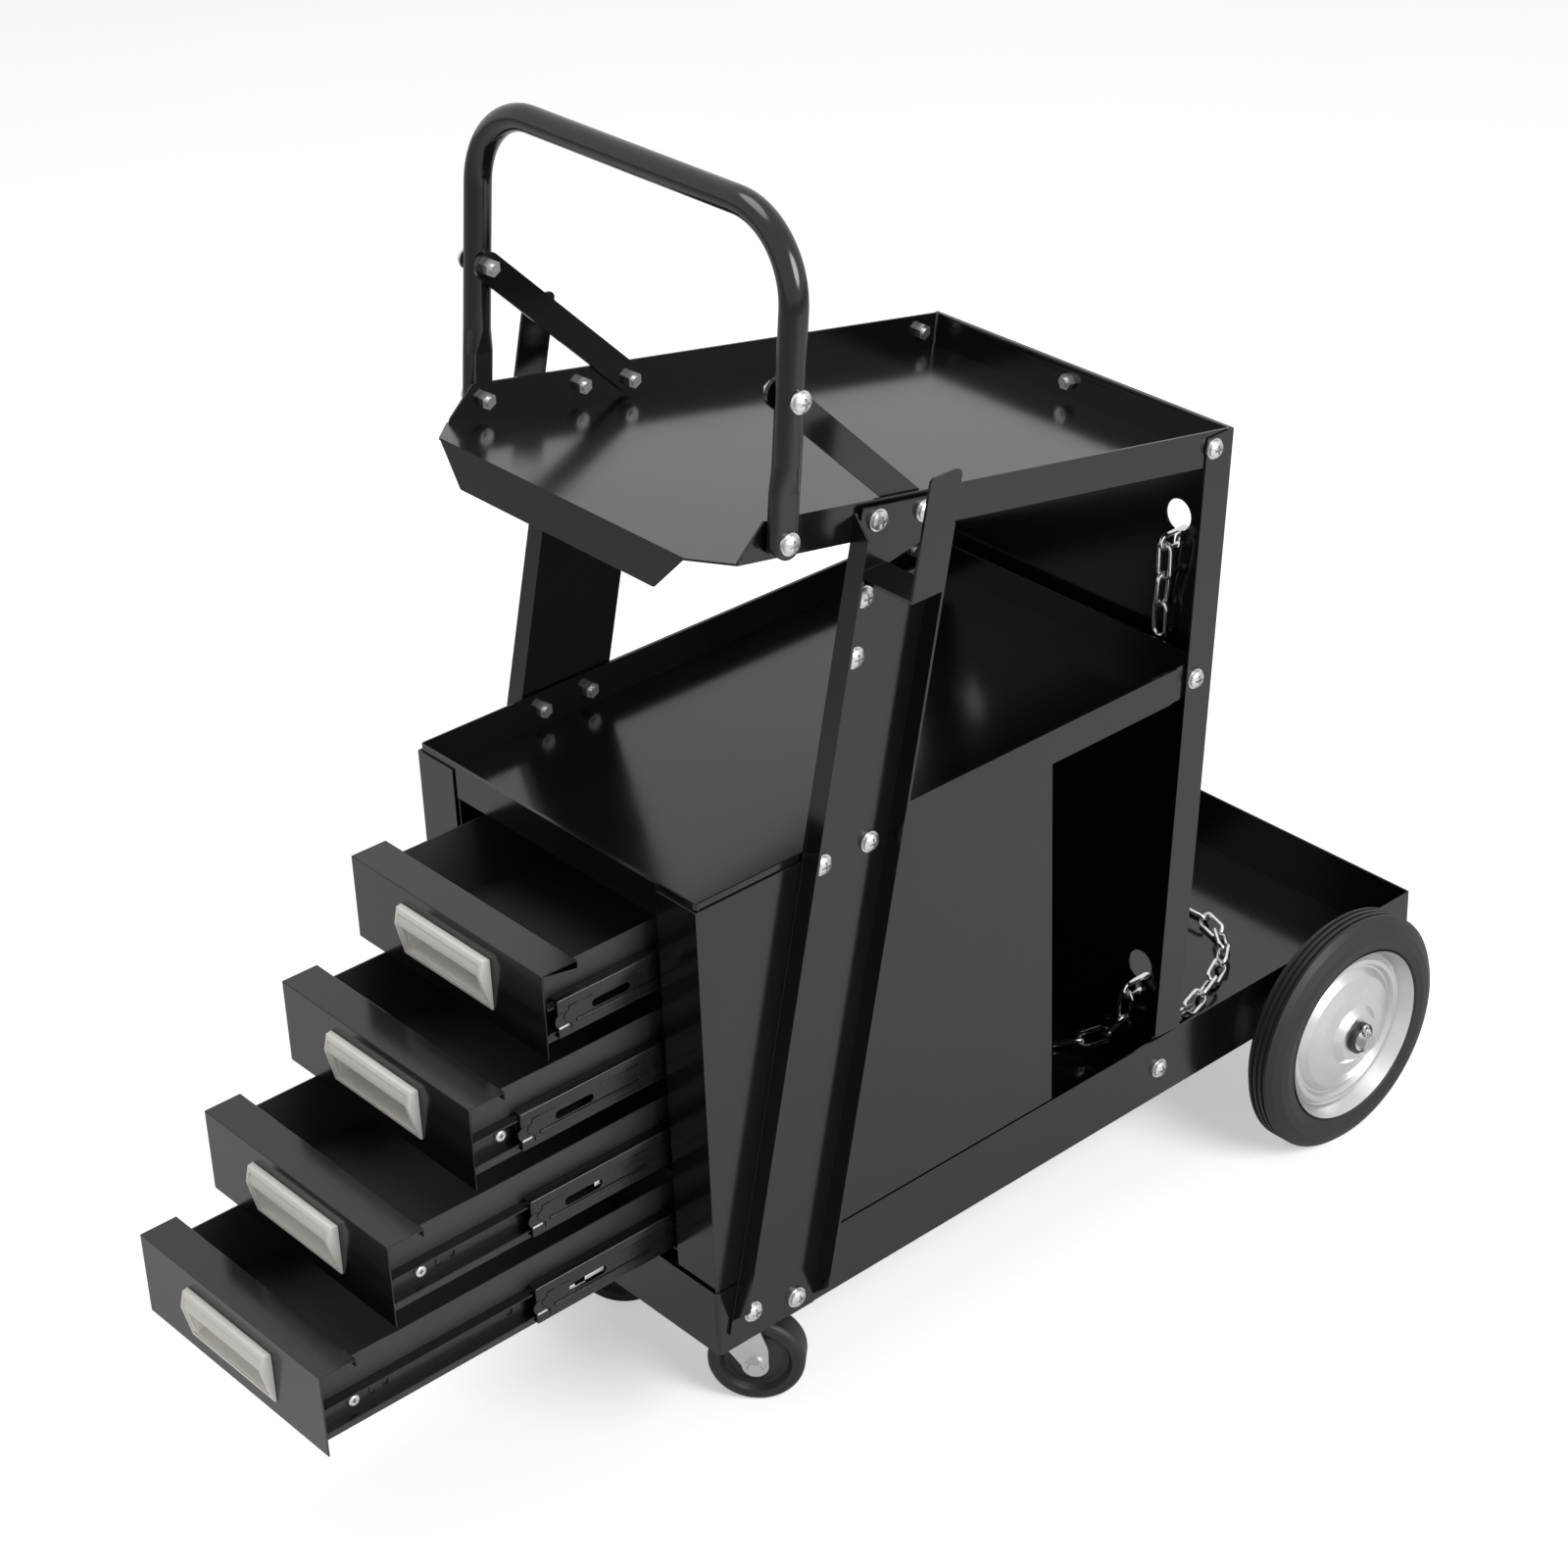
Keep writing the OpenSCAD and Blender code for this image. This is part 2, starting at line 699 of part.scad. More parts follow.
module strut(extra) color(black) cart() difference() {
    union() {
        intersection() {
            plate_x(half_w, strut_sheet) polygon(rounded([
                strut_foot(0, web_toe),
                strut_foot(strut_w, web_toe),
                strut_top(strut_w, web_drop),
                strut_top(0, web_drop)],
                [0, 0, web_r, web_r]));
            box([0, 0, web_foot], [body_w, base_depth, tray_z]);
        }
        strut_flange(fit);
        strut_flange(strut_w - strut_sheet / cos(strut_lean) - fit);
    }
    bolt_holes(concat([foot_a, foot_b, mid_a, mid_b, top_a, top_b], extra));
}

module right_strut() strut([spare_low, spare_high]);
module left_strut() mirror([1, 0, 0]) strut([]);

// Cable hooks: a back plate in the strut, a floor and an arm
module hook() color(black) cart() difference() {
    out = strut_face + hook_reach;
    top = hook_z + hook_h;
    back = strut_w - hook_set;
    union() {
        plate_x(strut_face, strut_sheet) polygon(rounded([
            strut_hole(hook_set, hook_z),
            [hook_front(hook_z) + hook_w, hook_z],
            strut_hole(back, top_b[1] - 4 * hook_r),
            strut_top(back, hook_set),
            strut_top(hook_set, hook_set)],
            [0, 0, hook_r, hook_r, web_r]));
        box([strut_face, hook_front(hook_z), hook_z],
            [out, hook_front(hook_z) + hook_w, hook_z + strut_sheet]);
        plate_x(out - strut_sheet, strut_sheet) polygon(rounded([
            [hook_front(hook_z), hook_z],
            [hook_front(hook_z) + hook_w, hook_z],
            [hook_front(top) + hook_w, top],
            [hook_front(top), top]],
            [0, 0, hook_r, hook_r]));
    }
    bolt_holes([top_a, top_b]);
}

module right_hook() hook();
module left_hook() mirror([1, 0, 0]) hook();

// Handle: a bent tube whose feet are pressed flat against the tray's rim
module flat_section(t) {
    translate([flat_x - flat_t / 2 + t, (flat_t - flat_w) / 2]) square([flat_t - 2 * t, flat_w - flat_t]);
    for (y = [-1, 1]) translate([flat_x, y * (flat_w - flat_t) / 2]) circle(d = flat_t - 2 * t);
}

module handle_leg(t) {
    r = tube_d / 2 - t;
    straight = grip_h - handle_bend_r;
    translate([0, 0, -leg_end]) linear_extrude(leg_end + flat_l) flat_section(t);
    hull() {
        translate([0, 0, flat_l - gap]) linear_extrude(gap, $fn = 32) flat_section(t);
        translate([leg_x, 0, flat_l + press_l]) cylinder(r = r, h = gap, $fn = 32);
    }
    translate([leg_x, 0, flat_l + press_l]) cylinder(r = r, h = straight - flat_l - press_l);
    translate([leg_x - handle_bend_r, 0, straight]) rotate([90, 0, 0])
        rotate_extrude(angle = 90) translate([handle_bend_r, 0]) circle(r = r);
}

module handle() color(black) cart() difference() {
    grip_half = leg_x - handle_bend_r;
    on_handle() difference() {
        union() {
            both() handle_leg(0);
            translate([-grip_half, 0, grip_h]) rotate([0, 90, 0])
                cylinder(d = tube_d, h = 2 * grip_half);
        }
        both() difference() {
            translate([0, -tube_d, -2 * leg_end]) cube([body_w, 2 * tube_d, 2 * leg_end]);
            rotate([0, 90, 0]) cylinder(r = leg_end, h = body_w);
        }
        both() handle_leg(tube_wall);
        translate([-grip_half, 0, grip_h]) rotate([0, 90, 0])
            cylinder(d = tube_d - 2 * tube_wall, h = 2 * grip_half);
    }
    bolt_holes([handle_foot, brace_top]);
}

// A flat bar with round ends between two places
module bar(from, to, w) {
    way = to - from;
    translate(from) rotate(atan2(way[1], way[0])) {
        translate([0, -w / 2]) square([norm(way), w]);
        circle(d = w);
        translate([norm(way), 0]) circle(d = w);
    }
}

module handle_braces() color(black) cart() both() difference() {
    plate_x(brace_in, brace_t) bar(brace_top, top_b, brace_w);
    bolt_holes([brace_top, top_b]);
}

// Fasteners: a pan head with a cross recess, a washer and a nut
module at_side(stack, side) for (s = stack) mirror([side < 0 ? 1 : 0, 0, 0])
    translate([s[1], s[0][0], s[0][1]]) rotate([0, 90, 0]) let ($grip = s[1] - s[2]) children();

module at_plate_bolts() for (side = [-1, 1], x = [-1, 1], y = [-1, 1])
    translate([side * caster_x + x * plate_bolt, caster_y + y * plate_bolt, base_sheet]) children();

module at_bolts() {
    for (side = [-1, 1]) at_side(side_stack, side) children();
    at_side(spare_stack, 1) children();
    let ($grip = base_sheet + plate_t) at_plate_bolts() children();
    let ($grip = base_sheet + sheet + tray_rim * sin(tray_tilt - panel_lean))
        at_tie() translate([0, 0, $grip - base_sheet]) children();
}

module bolt(grip) {
    difference() {
        cylinder(d = washer_d, h = washer_t);
        translate([0, 0, -over]) cylinder(d = bolt_d + fit, h = washer_t + 2 * over);
    }
    translate([0, 0, -grip - nut_h - tip_l]) cylinder(d = bolt_d, h = grip + nut_h + tip_l + washer_t + fit);
    translate([0, 0, washer_t + fit]) difference() {
        rotate_extrude() intersection() {
            square([head_d / 2, head_h]);
            translate([0, head_h - 0.8 * head_d]) circle(0.8 * head_d);
        }
        for (turn = [0, 90]) rotate([0, 0, turn])
            translate([-recess_l / 2, -recess_w / 2, 0.35 * head_h]) cube([recess_l, recess_w, head_h]);
    }
}

module bolts() color(zinc) cart() at_bolts() bolt($grip);

module nuts() color(zinc) cart() at_bolts() translate([0, 0, -$grip - nut_h]) difference() {
    cylinder(d = nut_af / cos(30), h = nut_h, $fn = 6);
    translate([0, 0, -over]) cylinder(d = bolt_d + fit, h = nut_h + 2 * over);
}

// Rear wheels: children are drawn about the axle, z outward
module at_wheel() translate([wheel_x, axle_y, axle_z]) rotate([0, 90, 0]) children();

module rear_axle() color(steel) cart() difference() {
    translate([-axle_end, axle_y, axle_z]) rotate([0, 90, 0]) cylinder(d = axle_d - fit, h = 2 * axle_end);
    both() translate([pin_x, axle_y, axle_z - axle_d]) cylinder(d = pin_d + fit, h = 2 * axle_d);
}

module axle_washers() color(zinc) cart() both()
    for (x = [wheel_end + fit, wheel_x - hub_half - bush_out - fit - axle_washer_t])
        translate([x, axle_y, axle_z]) rotate([0, 90, 0]) difference() {
            cylinder(d = axle_washer_d, h = axle_washer_t);
            translate([0, 0, -over]) cylinder(d = axle_d + fit, h = axle_washer_t + 2 * over);
        }

// A pin through the axle with its eye above
module split_pins() color(zinc) cart() both() translate([pin_x, axle_y, axle_z]) {
    eye = pin_d;
    translate([0, 0, -0.85 * axle_d]) cylinder(d = pin_d, h = 1.5 * axle_d);
    translate([0, 0, 0.65 * axle_d + eye]) rotate([90, 0, 90])
        rotate_extrude() translate([eye, 0]) circle(d = 0.8 * pin_d);
}

module tyre() color(rubber) cart() at_wheel() difference() {
    r = wheel_d / 2;
    high = r - rim_r;
    half = tyre_w / 2;
    rotate_extrude() polygon(concat(
        [for (side = [1, -1]) let (p = [
            [0.91 * rim_r + 2 * gap, 0.2 * hub_half - rim_t],
            [rim_r + 2 * gap, 0.8 * hub_half - rim_t],
            [rim_r + 0.09 * high, 0.94 * half],
            [rim_r + 0.36 * high, half],
            [rim_r + 0.6 * high, 0.95 * half],
            [rim_r + 0.85 * high, 0.74 * half],
            [r, 0.5 * half]])
            for (i = [0 : len(p) - 1]) let (q = p[side > 0 ? i : len(p) - 1 - i]) [q[0], side * q[1]]]));
    for (z = [-1, 0, 1]) translate([0, 0, z * 0.3 * half - groove_w / 2]) rotate_extrude()
        translate([r - groove_t, 0]) square([2 * groove_t, groove_w]);
}

// Rim: two pressed discs back to back, each dished from hub to lip
rim_shares = [
    [0.19, 1],
    [0.27, 1],
    [0.35, 0.72],
    [0.5, 0.62],
    [0.66, 0.42],
    [0.76, 0.1],
    [0.8, 0.34],
    [0.85, 0.34],
    [0.88, 0.12],
    [0.91, 0.2],
    [1, 0.8]];

module rim_disc() {
    line = [for (s = rim_shares) [s[0] * rim_r, s[1] * hub_half]];
    rotate_extrude() polygon(concat(
        line,
        [for (i = [len(line) - 1 : -1 : 0]) [line[i][0], max(line[i][1] - rim_t, 0)]]));
}

module rim() color(zinc) cart() at_wheel() difference() {
    union() {
        rim_disc();
        mirror([0, 0, 1]) rim_disc();
        cylinder(r = 0.22 * rim_r, h = 2 * hub_half, center = true);
        difference() {
            cylinder(r = 0.79 * rim_r, h = 0.3 * hub_half, center = true);
            cylinder(r = 0.74 * rim_r, h = hub_half, center = true);
        }
    }
    cylinder(d = bush_d, h = 4 * hub_half, center = true);
}

module bush() color(rubber) cart() at_wheel() difference() {
    union() {
        cylinder(d = bush_d, h = 2 * hub_half, center = true);
        for (side = [0, 1]) mirror([0, 0, side]) translate([0, 0, hub_half])
            cylinder(d = 1.15 * bush_d, h = bush_out);
    }
    cylinder(d = axle_d + fit, h = 4 * hub_half, center = true);
}

module right_tyre() tyre();
module left_tyre() mirror([1, 0, 0]) tyre();
module right_rim() rim();
module left_rim() mirror([1, 0, 0]) rim();
module right_bush() bush();
module left_bush() mirror([1, 0, 0]) bush();

// Casters: x trails from the swivel pin, z up from the base's underside
module at_caster(side) cart() translate([side * caster_x, caster_y, 0]) children();
module turned_caster(side) at_caster(side) rotate([0, 0, caster_turn]) children();

module caster_plate(side) color(zinc) at_caster(side) {
    difference() {
        translate([0, -plate_w / 2, -plate_t]) linear_extrude(plate_t)
            round_rect(plate_w, plate_w, 2 * plate_t);
        for (x = [-1, 1], y = [-1, 1]) translate([x * plate_bolt, y * plate_bolt, -2 * plate_t])
            cylinder(d = hole_d, h = 4 * plate_t);
    }
    translate([0, 0, race_z]) cylinder(d = race_d, h = race_h);
    translate([0, 0, crown_z - crown_t - gap]) cylinder(d = kingpin_d, h = -crown_z);
    translate([0, 0, crown_z - crown_t - gap - kingpin_head_t])
        cylinder(d = kingpin_head, h = kingpin_head_t);
}

module caster_fork(side) color(zinc) turned_caster(side) {
    difference() {
        union() {
            translate([0, 0, crown_z - crown_t]) cylinder(d = race_d, h = crown_t);
            box([-race_d / 2, -fork_in - fork_t, crown_z - crown_t], [race_d / 2, fork_in + fork_t, crown_z]);
        }
        translate([0, 0, crown_z - crown_t - over])
            cylinder(d = kingpin_d + 2 * fit, h = crown_t + 2 * over);
    }
    for (y = [-fork_in - fork_t, fork_in]) difference() {
        plate_y(y, fork_t) {
            polygon(rounded([
                [-race_d / 2, crown_z],
                [race_d / 2, crown_z],
                [caster_trail + leg_r, caster_z + 1.6 * leg_r],
                [caster_trail + leg_r, caster_z],
                [caster_trail - leg_r, caster_z],
                [caster_trail - 1.6 * leg_r, caster_z + 0.9 * leg_r],
                [-race_d / 2, crown_z - 3 * crown_t]],
                [0, 0, 2 * leg_r, 0, 0, 2 * leg_r, 0]));
            translate([caster_trail, caster_z]) circle(r = leg_r);
        }
        translate([caster_trail, 0, caster_z]) rotate([90, 0, 0])
            cylinder(d = caster_axle_d + fit, h = 4 * fork_in, center = true);
    }
}

module caster_axle(side) color(zinc) turned_caster(side) translate([caster_trail, 0, caster_z]) {
    out = fork_in + fork_t;
    t = 0.6 * caster_axle_d;
    rotate([90, 0, 0]) cylinder(d = caster_axle_d, h = 2 * out + t, center = true);
    for (turn = [0, 180]) rotate([0, 0, turn]) translate([0, out, 0]) rotate([-90, 0, 0]) {
        cylinder(d = 1.75 * caster_axle_d, h = t / 3);
        cylinder(d = 1.4 * caster_axle_d, h = t, $fn = 6);
    }
}

module caster_wheel(side) color(rubber) turned_caster(side) translate([caster_trail, 0, caster_z])
    rotate([90, 0, 0]) difference() {
        half = caster_w / 2;
        rotate_extrude() polygon(rounded([
            [0, -half],
            [caster_r, -half],
            [caster_r, half],
            [0, half]],
            [0, caster_edge_r, caster_edge_r, 0]));
        for (side = [0, 1]) mirror([0, 0, side]) rotate_extrude() polygon([
            [caster_hub_r, half + over],
            [caster_hub_r, half - caster_dish / 3],
            [0.58 * caster_r, half - caster_dish],
            [0.66 * caster_r, half - caster_dish],
            [0.74 * caster_r, half],
            [0.74 * caster_r, half + over]]);
        cylinder(d = caster_axle_d + fit, h = 2 * caster_w, center = true);
    }

module left_caster_plate() caster_plate(-1);
module left_caster_fork() caster_fork(-1);
module left_caster_axle() caster_axle(-1);
module left_caster_wheel() caster_wheel(-1);
module right_caster_plate() caster_plate(1);
module right_caster_fork() caster_fork(1);
module right_caster_axle() caster_axle(1);
module right_caster_wheel() caster_wheel(1);

// Drawers: drawn from the outer face of the front and its lower edge
module at_drawer(n, out) cart() translate([0, -out, front_z0 + (4 - n) * drawer_pitch]) children();

module drawer_box(n) color(black) at_drawer(n, drawer_open[n - 1]) {
    back = drawer_sheet + box_depth;
    difference() {
        box([-box_half, drawer_sheet, front_drop], [box_half, back, box_top]);
        box([drawer_sheet - box_half, 0, front_drop + drawer_sheet],
            [box_half - drawer_sheet, back - drawer_sheet, box_top + over]);
    }
    both() box([box_half - box_tab, drawer_sheet, front_drop],
        [box_half, 2 * drawer_sheet, box_top]);
}

module drawer_front(n) color(black) at_drawer(n, drawer_open[n - 1]) {
    difference() {
        box([-front_half, 0, 0], [front_half, drawer_sheet, front_h]);
        pull_space(pull_frame);
    }
    box([-front_half, 0, front_h - drawer_sheet], [front_half, front_flange, front_h]);
    box([-front_half, front_flange - drawer_sheet, front_h - flange_lip],
        [front_half, front_flange, front_h]);
}

// The space that a pull takes in the front, smaller by an edge all round
module pull_space(edge) {
    half = pull_w / 2 - edge;
    box([-half, -over, pull_z - pull_h / 2 + edge], [half, 2 * drawer_sheet, pull_z + pull_h / 2 - edge]);
}

// A cup whose ends slope in and whose floor is bent, grown or shrunk by t
module cup(half, high, deep, t) intersection() {
    plate_x(-half, 2 * half) translate([0, pull_z]) polygon([
        [-pull_t - over, -high / 2 + t],
        [0.55 * deep - t, -0.42 * high + t],
        [0.95 * deep - t, -0.12 * high],
        [deep - t, 0.18 * high],
        [0.8 * deep - t, high / 2 - t],
        [-pull_t - over, high / 2 - t]]);
    translate([0, 0, pull_z - high / 2]) linear_extrude(high) polygon([
        [t - half, -pull_t - over],
        [half - t, -pull_t - over],
        [half - 0.75 * deep - t, deep - t],
        [t + 0.75 * deep - half, deep - t]]);
}

// Pull: a frame on the front, a cup behind it and a hood over the fingers
module drawer_pull(n) color(grey) at_drawer(n, drawer_open[n - 1]) {
    half = pull_w / 2;
    in_half = half - pull_frame - fit;
    in_high = pull_h - 2 * pull_frame - 2 * fit;
    hood_z = pull_z + pull_h / 2;
    difference() {
        union() {
            plate_y(-pull_t, pull_t) translate([0, pull_z - pull_h / 2]) round_rect(pull_w, pull_h, pull_t);
            intersection() {
                cup(in_half, in_high, pull_recess, 0);
                box([-half, -pull_t, 0], [half, pull_recess, front_h]);
            }
            intersection() {
                plate_x(-half, pull_w) polygon([
                    [0, hood_z],
                    [-0.45 * pull_out, hood_z],
                    [-pull_out, hood_z - 0.24 * pull_h],
                    [-pull_out, hood_z - 0.32 * pull_h],
                    [0, hood_z - 0.32 * pull_h]]);
                translate([0, 0, pull_z]) linear_extrude(pull_h) polygon([
                    [-half, 0],
                    [-half, -pull_t],
                    [pull_out - half, -pull_out],
                    [half - pull_out, -pull_out],
                    [half, -pull_t],
                    [half, 0]]);
            }
        }
        cup(in_half, in_high, pull_recess, pull_t);
        intersection() {
            plate_x(-half, pull_w) polygon([
                [over, hood_z - pull_t - pull_frame],
                [-0.4 * pull_out, hood_z - pull_t],
                [pull_t - pull_out, hood_z - 0.25 * pull_h],
                [pull_t - pull_out, pull_z],
                [over, pull_z]]);
            box([2 * pull_t + pull_frame - half, -pull_out, 0], [half - 2 * pull_t - pull_frame, over, front_h]);
        }
    }
}

// Ball-bearing slides: a cabinet member, a middle member with its balls and a drawer member
module channel(x, depth, high, from, long, way) {
    low = slide_z - high / 2;
    web = way > 0 ? x : x + depth - member_t;
    box([web, from, low], [web + member_t, from + long, low + high]);
    for (z = [low, low + high - member_t])
        box([x, from, z], [x + depth, from + long, z + member_t]);
}

module from_wall() both() translate([wall_half, 0, 0]) mirror([1, 0, 0]) children();

module cabinet_slides() color(black) for (n = [1 : 4]) at_drawer(n, 0) from_wall()
    channel(0, cabinet_reach, slide_h, slide_y, slide_l, 1);

module balls(d, x, z, from) for (i = [0 : ball_count - 1], side = [-1, 1])
    translate([x, from + i * ball_run * middle_l / ball_count, slide_z + side * z]) sphere(d = d, $fn = 24);

module middle_slides(n) color(black) at_drawer(n, middle_out[n - 1]) from_wall() {
    race_a = (slide_h - member_t - member_t / 2) / 2 - ball_a / 2 - member_t / 4;
    race_b = (middle_h - member_t - member_t / 2) / 2 - ball_b / 2 - member_t / 4;
    difference() {
        channel(middle_set, middle_reach, middle_h, slide_y, middle_l, 1);
        translate([0, slide_y + slot_set, slide_z - slot_h / 2])
            cube([slide_t, slot_l, slot_h]);
        for (y = [slot_set, slot_set + slot_l]) translate([0, slide_y + y, slide_z]) rotate([0, 90, 0])
            cylinder(d = slot_h, h = slide_t);
    }
    balls(ball_a - ball_room, cabinet_reach - ball_a / 2, race_a, slide_y + 0.62 * middle_l);
    balls(ball_b - ball_room, middle_set + middle_reach - ball_b / 2, race_b, slide_y + 0.12 * middle_l);
}

module inner_slides(n) color(black) at_drawer(n, drawer_open[n - 1]) from_wall() {
    x = slide_t - inner_reach;
    difference() {
        channel(x, inner_reach, inner_h, slide_y, inner_l, -1);
        for (share = [0.08, 0.165, 0.5, 0.9]) translate([x, slide_y + share * inner_l, slide_z])
            rotate([0, 90, 0]) cylinder(d = slot_h, h = slide_t);
    }
    translate([slide_t - member_t - screw_t, slide_y + 0.08 * inner_l, slide_z]) rotate([0, 90, 0])
        cylinder(d = screw_d, h = screw_t);
}

// Chains
module link() for (side = [-1, 1]) {
    translate([-link_half, side * link_r, 0]) rotate([0, 90, 0])
        cylinder(d = wire_d, h = 2 * link_half, $fn = 24);
    translate([side * link_half, 0, 0]) rotate([0, 0, -90 * side])
        rotate_extrude(angle = 180, $fn = 32) translate([link_r, 0]) circle(d = wire_d, $fn = 24);
}

// Links between following joints, each rolled a quarter turn on from the last
module links(joints, rolls) for (i = [0 : len(joints) - 2]) {
    way = joints[i + 1] - joints[i];
    translate((joints[i] + joints[i + 1]) / 2)
        rotate([rolls[i], -asin(way[2] / norm(way)), atan2(way[1], way[0])]) link();
}

module slot_link(place) translate(place) rotate([90, 0, 90]) link();

// Joints from a start, by headings round Z and falls below level
function run(start, turns, falls, i = 0) =
    i == len(turns) ? [start] :
    concat([start], run(start + link_pitch
        * [cos(falls[i]) * cos(turns[i]), cos(falls[i]) * sin(turns[i]), -sin(falls[i])],
        turns, falls, i + 1));

// Half-width of the catenary of a length that spans a width
function catenary(span, length, low, high, steps = 40) =
    let (a = (low + high) / 2)
    steps == 0 ? a :
    2 * a * ln(length / (2 * a) + sqrt(pow(length / (2 * a), 2) + 1)) < span
        ? catenary(span, length, a, high, steps - 1)
        : catenary(span, length, low, a, steps - 1);

upper_links = 21;
upper_half = upper_links / 2;
upper_a = catenary(2 * keyhole_x, upper_links * link_pitch, wire_d, body_w);
function upper_x(s) = upper_a * ln(s / upper_a + sqrt(pow(s / upper_a, 2) + 1));
function upper_z(s) = sqrt(s * s + upper_a * upper_a);
upper_joints = [for (i = [0 : upper_links]) let (s = (upper_half - i) * link_pitch) [
    upper_x(s),
    slot_high[1] + hang_y,
    slot_high[2] + hang_z + upper_z(s) - upper_z(upper_half * link_pitch)]];

module upper_chain() color(zinc) cart() {
    both() slot_link(slot_high);
    links(upper_joints, [for (i = [1 : upper_links]) 90 * i]);
}

tail_joints = run(slot_high + [0, -hang_y, hang_z], [180, 180, 180], [88, 84, 88]);
module upper_chain_tail() color(zinc) cart() links(tail_joints, [90, 180, 90]);

// The lower chain hangs from its keyholes behind the panel and lies across the base
fall_turns = [92, 98, 104, 106];
lie_turns = [108, 111, 116, 126, 143, 163];
steep_falls = [72, 50, 30];
low_start = slot_low + [0, hang_y, hang_z];
steep_joints = run(low_start, [for (i = [0 : 2]) fall_turns[i]], steep_falls);
last_fall = asin((steep_joints[3][2] - lie_z) / link_pitch);

// Joints of its right half with all headings opened by a factor
function low_half(k) = run(low_start,
    [for (t = concat(fall_turns, lie_turns)) 90 + k * (t - 90)],
    concat(steep_falls, [last_fall], [for (t = lie_turns) 0]));
function low_end(k) = let (j = low_half(k)) j[len(j) - 1][0];
function open_factor(low, high, steps = 30) =
    let (k = (low + high) / 2)
    steps == 0 ? k :
    low_end(k) > link_pitch / 2 ? open_factor(k, high, steps - 1) : open_factor(low, k, steps - 1);
low_joints = low_half(open_factor(0.3, 1.2));

// The rest of it hangs in front of the panel and ends on the base
front_turns = [180, 195, 207, 214];
front_falls = [80, 54, 30];
front_start = slot_low + [0, -hang_y, hang_z];
front_steep = run(front_start, [for (i = [0 : 2]) front_turns[i]], front_falls);
front_joints = run(front_start, front_turns,
    concat(front_falls, [asin((front_steep[3][2] - lie_z) / link_pitch)]));

module lower_chain() color(zinc) cart() {
    count = len(low_joints) - 1;
    rolls = [for (i = [0 : count]) 90 * i + 45 * min(i / 4, 1)];
    both() slot_link(slot_low);
    links(low_joints, rolls);
    mirror([1, 0, 0]) links(low_joints, rolls);
    end = low_joints[count];
    links([end, [-end[0], end[1], end[2]]], [rolls[count]]);
    links(front_joints, [90, 190, 290, 400]);
}

base_tray();
axle_brackets();
left_side_panel();
right_side_panel();
shelf_pan();
cabinet_back();
left_slide_wall();
right_slide_wall();
rear_panel();
top_tray();
left_strut();
right_strut();
left_hook();
right_hook();
handle();
handle_braces();
bolts();
nuts();
upper_chain();
upper_chain_tail();
lower_chain();
rear_axle();
axle_washers();
split_pins();
left_tyre();
left_rim();
left_bush();
right_tyre();
right_rim();
right_bush();
left_caster_plate();
left_caster_fork();
left_caster_axle();
left_caster_wheel();
right_caster_plate();
right_caster_fork();
right_caster_axle();
right_caster_wheel();
cabinet_slides();
for (n = [1 : 4]) {
    middle_slides(n);
    inner_slides(n);
    drawer_box(n);
    drawer_front(n);
    drawer_pull(n);
}
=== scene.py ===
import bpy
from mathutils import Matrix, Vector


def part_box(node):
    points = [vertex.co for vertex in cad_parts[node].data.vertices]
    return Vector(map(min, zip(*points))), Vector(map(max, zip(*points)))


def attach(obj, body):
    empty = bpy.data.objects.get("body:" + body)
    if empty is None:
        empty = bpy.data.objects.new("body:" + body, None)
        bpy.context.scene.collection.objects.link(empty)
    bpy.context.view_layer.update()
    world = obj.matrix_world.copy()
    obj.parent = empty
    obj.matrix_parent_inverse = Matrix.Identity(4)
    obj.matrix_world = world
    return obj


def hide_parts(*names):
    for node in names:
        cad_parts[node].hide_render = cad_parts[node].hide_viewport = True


bl_info = {
    "name": "Welding cart",
    "version": (1, 0, 0),
    "blender": (4, 5, 0),
    "location": "3D View > Sidebar > Welding cart",
    "description": "Dresses the welding cart: finishes, small hardware and a plain studio",
    "category": "Object",
}

import math

import bpy
from mathutils import Matrix, Vector

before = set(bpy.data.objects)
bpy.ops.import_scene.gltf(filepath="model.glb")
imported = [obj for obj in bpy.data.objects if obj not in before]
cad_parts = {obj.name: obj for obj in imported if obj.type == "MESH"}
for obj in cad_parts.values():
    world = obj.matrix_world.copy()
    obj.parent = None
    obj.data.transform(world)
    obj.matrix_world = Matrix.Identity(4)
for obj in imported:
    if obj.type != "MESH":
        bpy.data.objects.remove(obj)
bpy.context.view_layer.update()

SIDES = ("left", "right")
DRAWERS = (1, 2, 3, 4)

# Smooth shading runs over edges flatter than this many degrees
SMOOTH = 35

# Camera: its turn, height and roll in degrees, its place in metres and its lens in millimetres
CAMERA_TURN = (46.83315, 29.04441, 0.87456)
CAMERA_PLACE = (1.543358, -1.317074, 1.571664)
CAMERA_LENS = 80.1446


def colour(hex_code):
    """Turns an sRGB hex value to linear red, green, blue and alpha"""
    parts = [int(hex_code[i:i + 2], 16) / 255 for i in (1, 3, 5)]
    line = [p / 12.92 if p <= 0.04045 else ((p + 0.055) / 1.055) ** 2.4 for p in parts]
    return (*line, 1.0)


def mm(length):
    """A length of the panel in millimetres"""
    return round(length * 1000, 3)


def per_mm(size):
    """Scale of a pattern whose grain is this many millimetres"""
    return 1000 / size


def add(tree, kind, settings=None, links=None):
    """Adds a node with its settings and what feeds its sockets"""
    made = tree.nodes.new(kind)
    for name, value in (settings or {}).items():
        if name in made.inputs:
            made.inputs[name].default_value = value
        else:
            setattr(made, name, value)
    for name, source in (links or {}).items():
        tree.links.new(source, made.inputs[name])
    return made


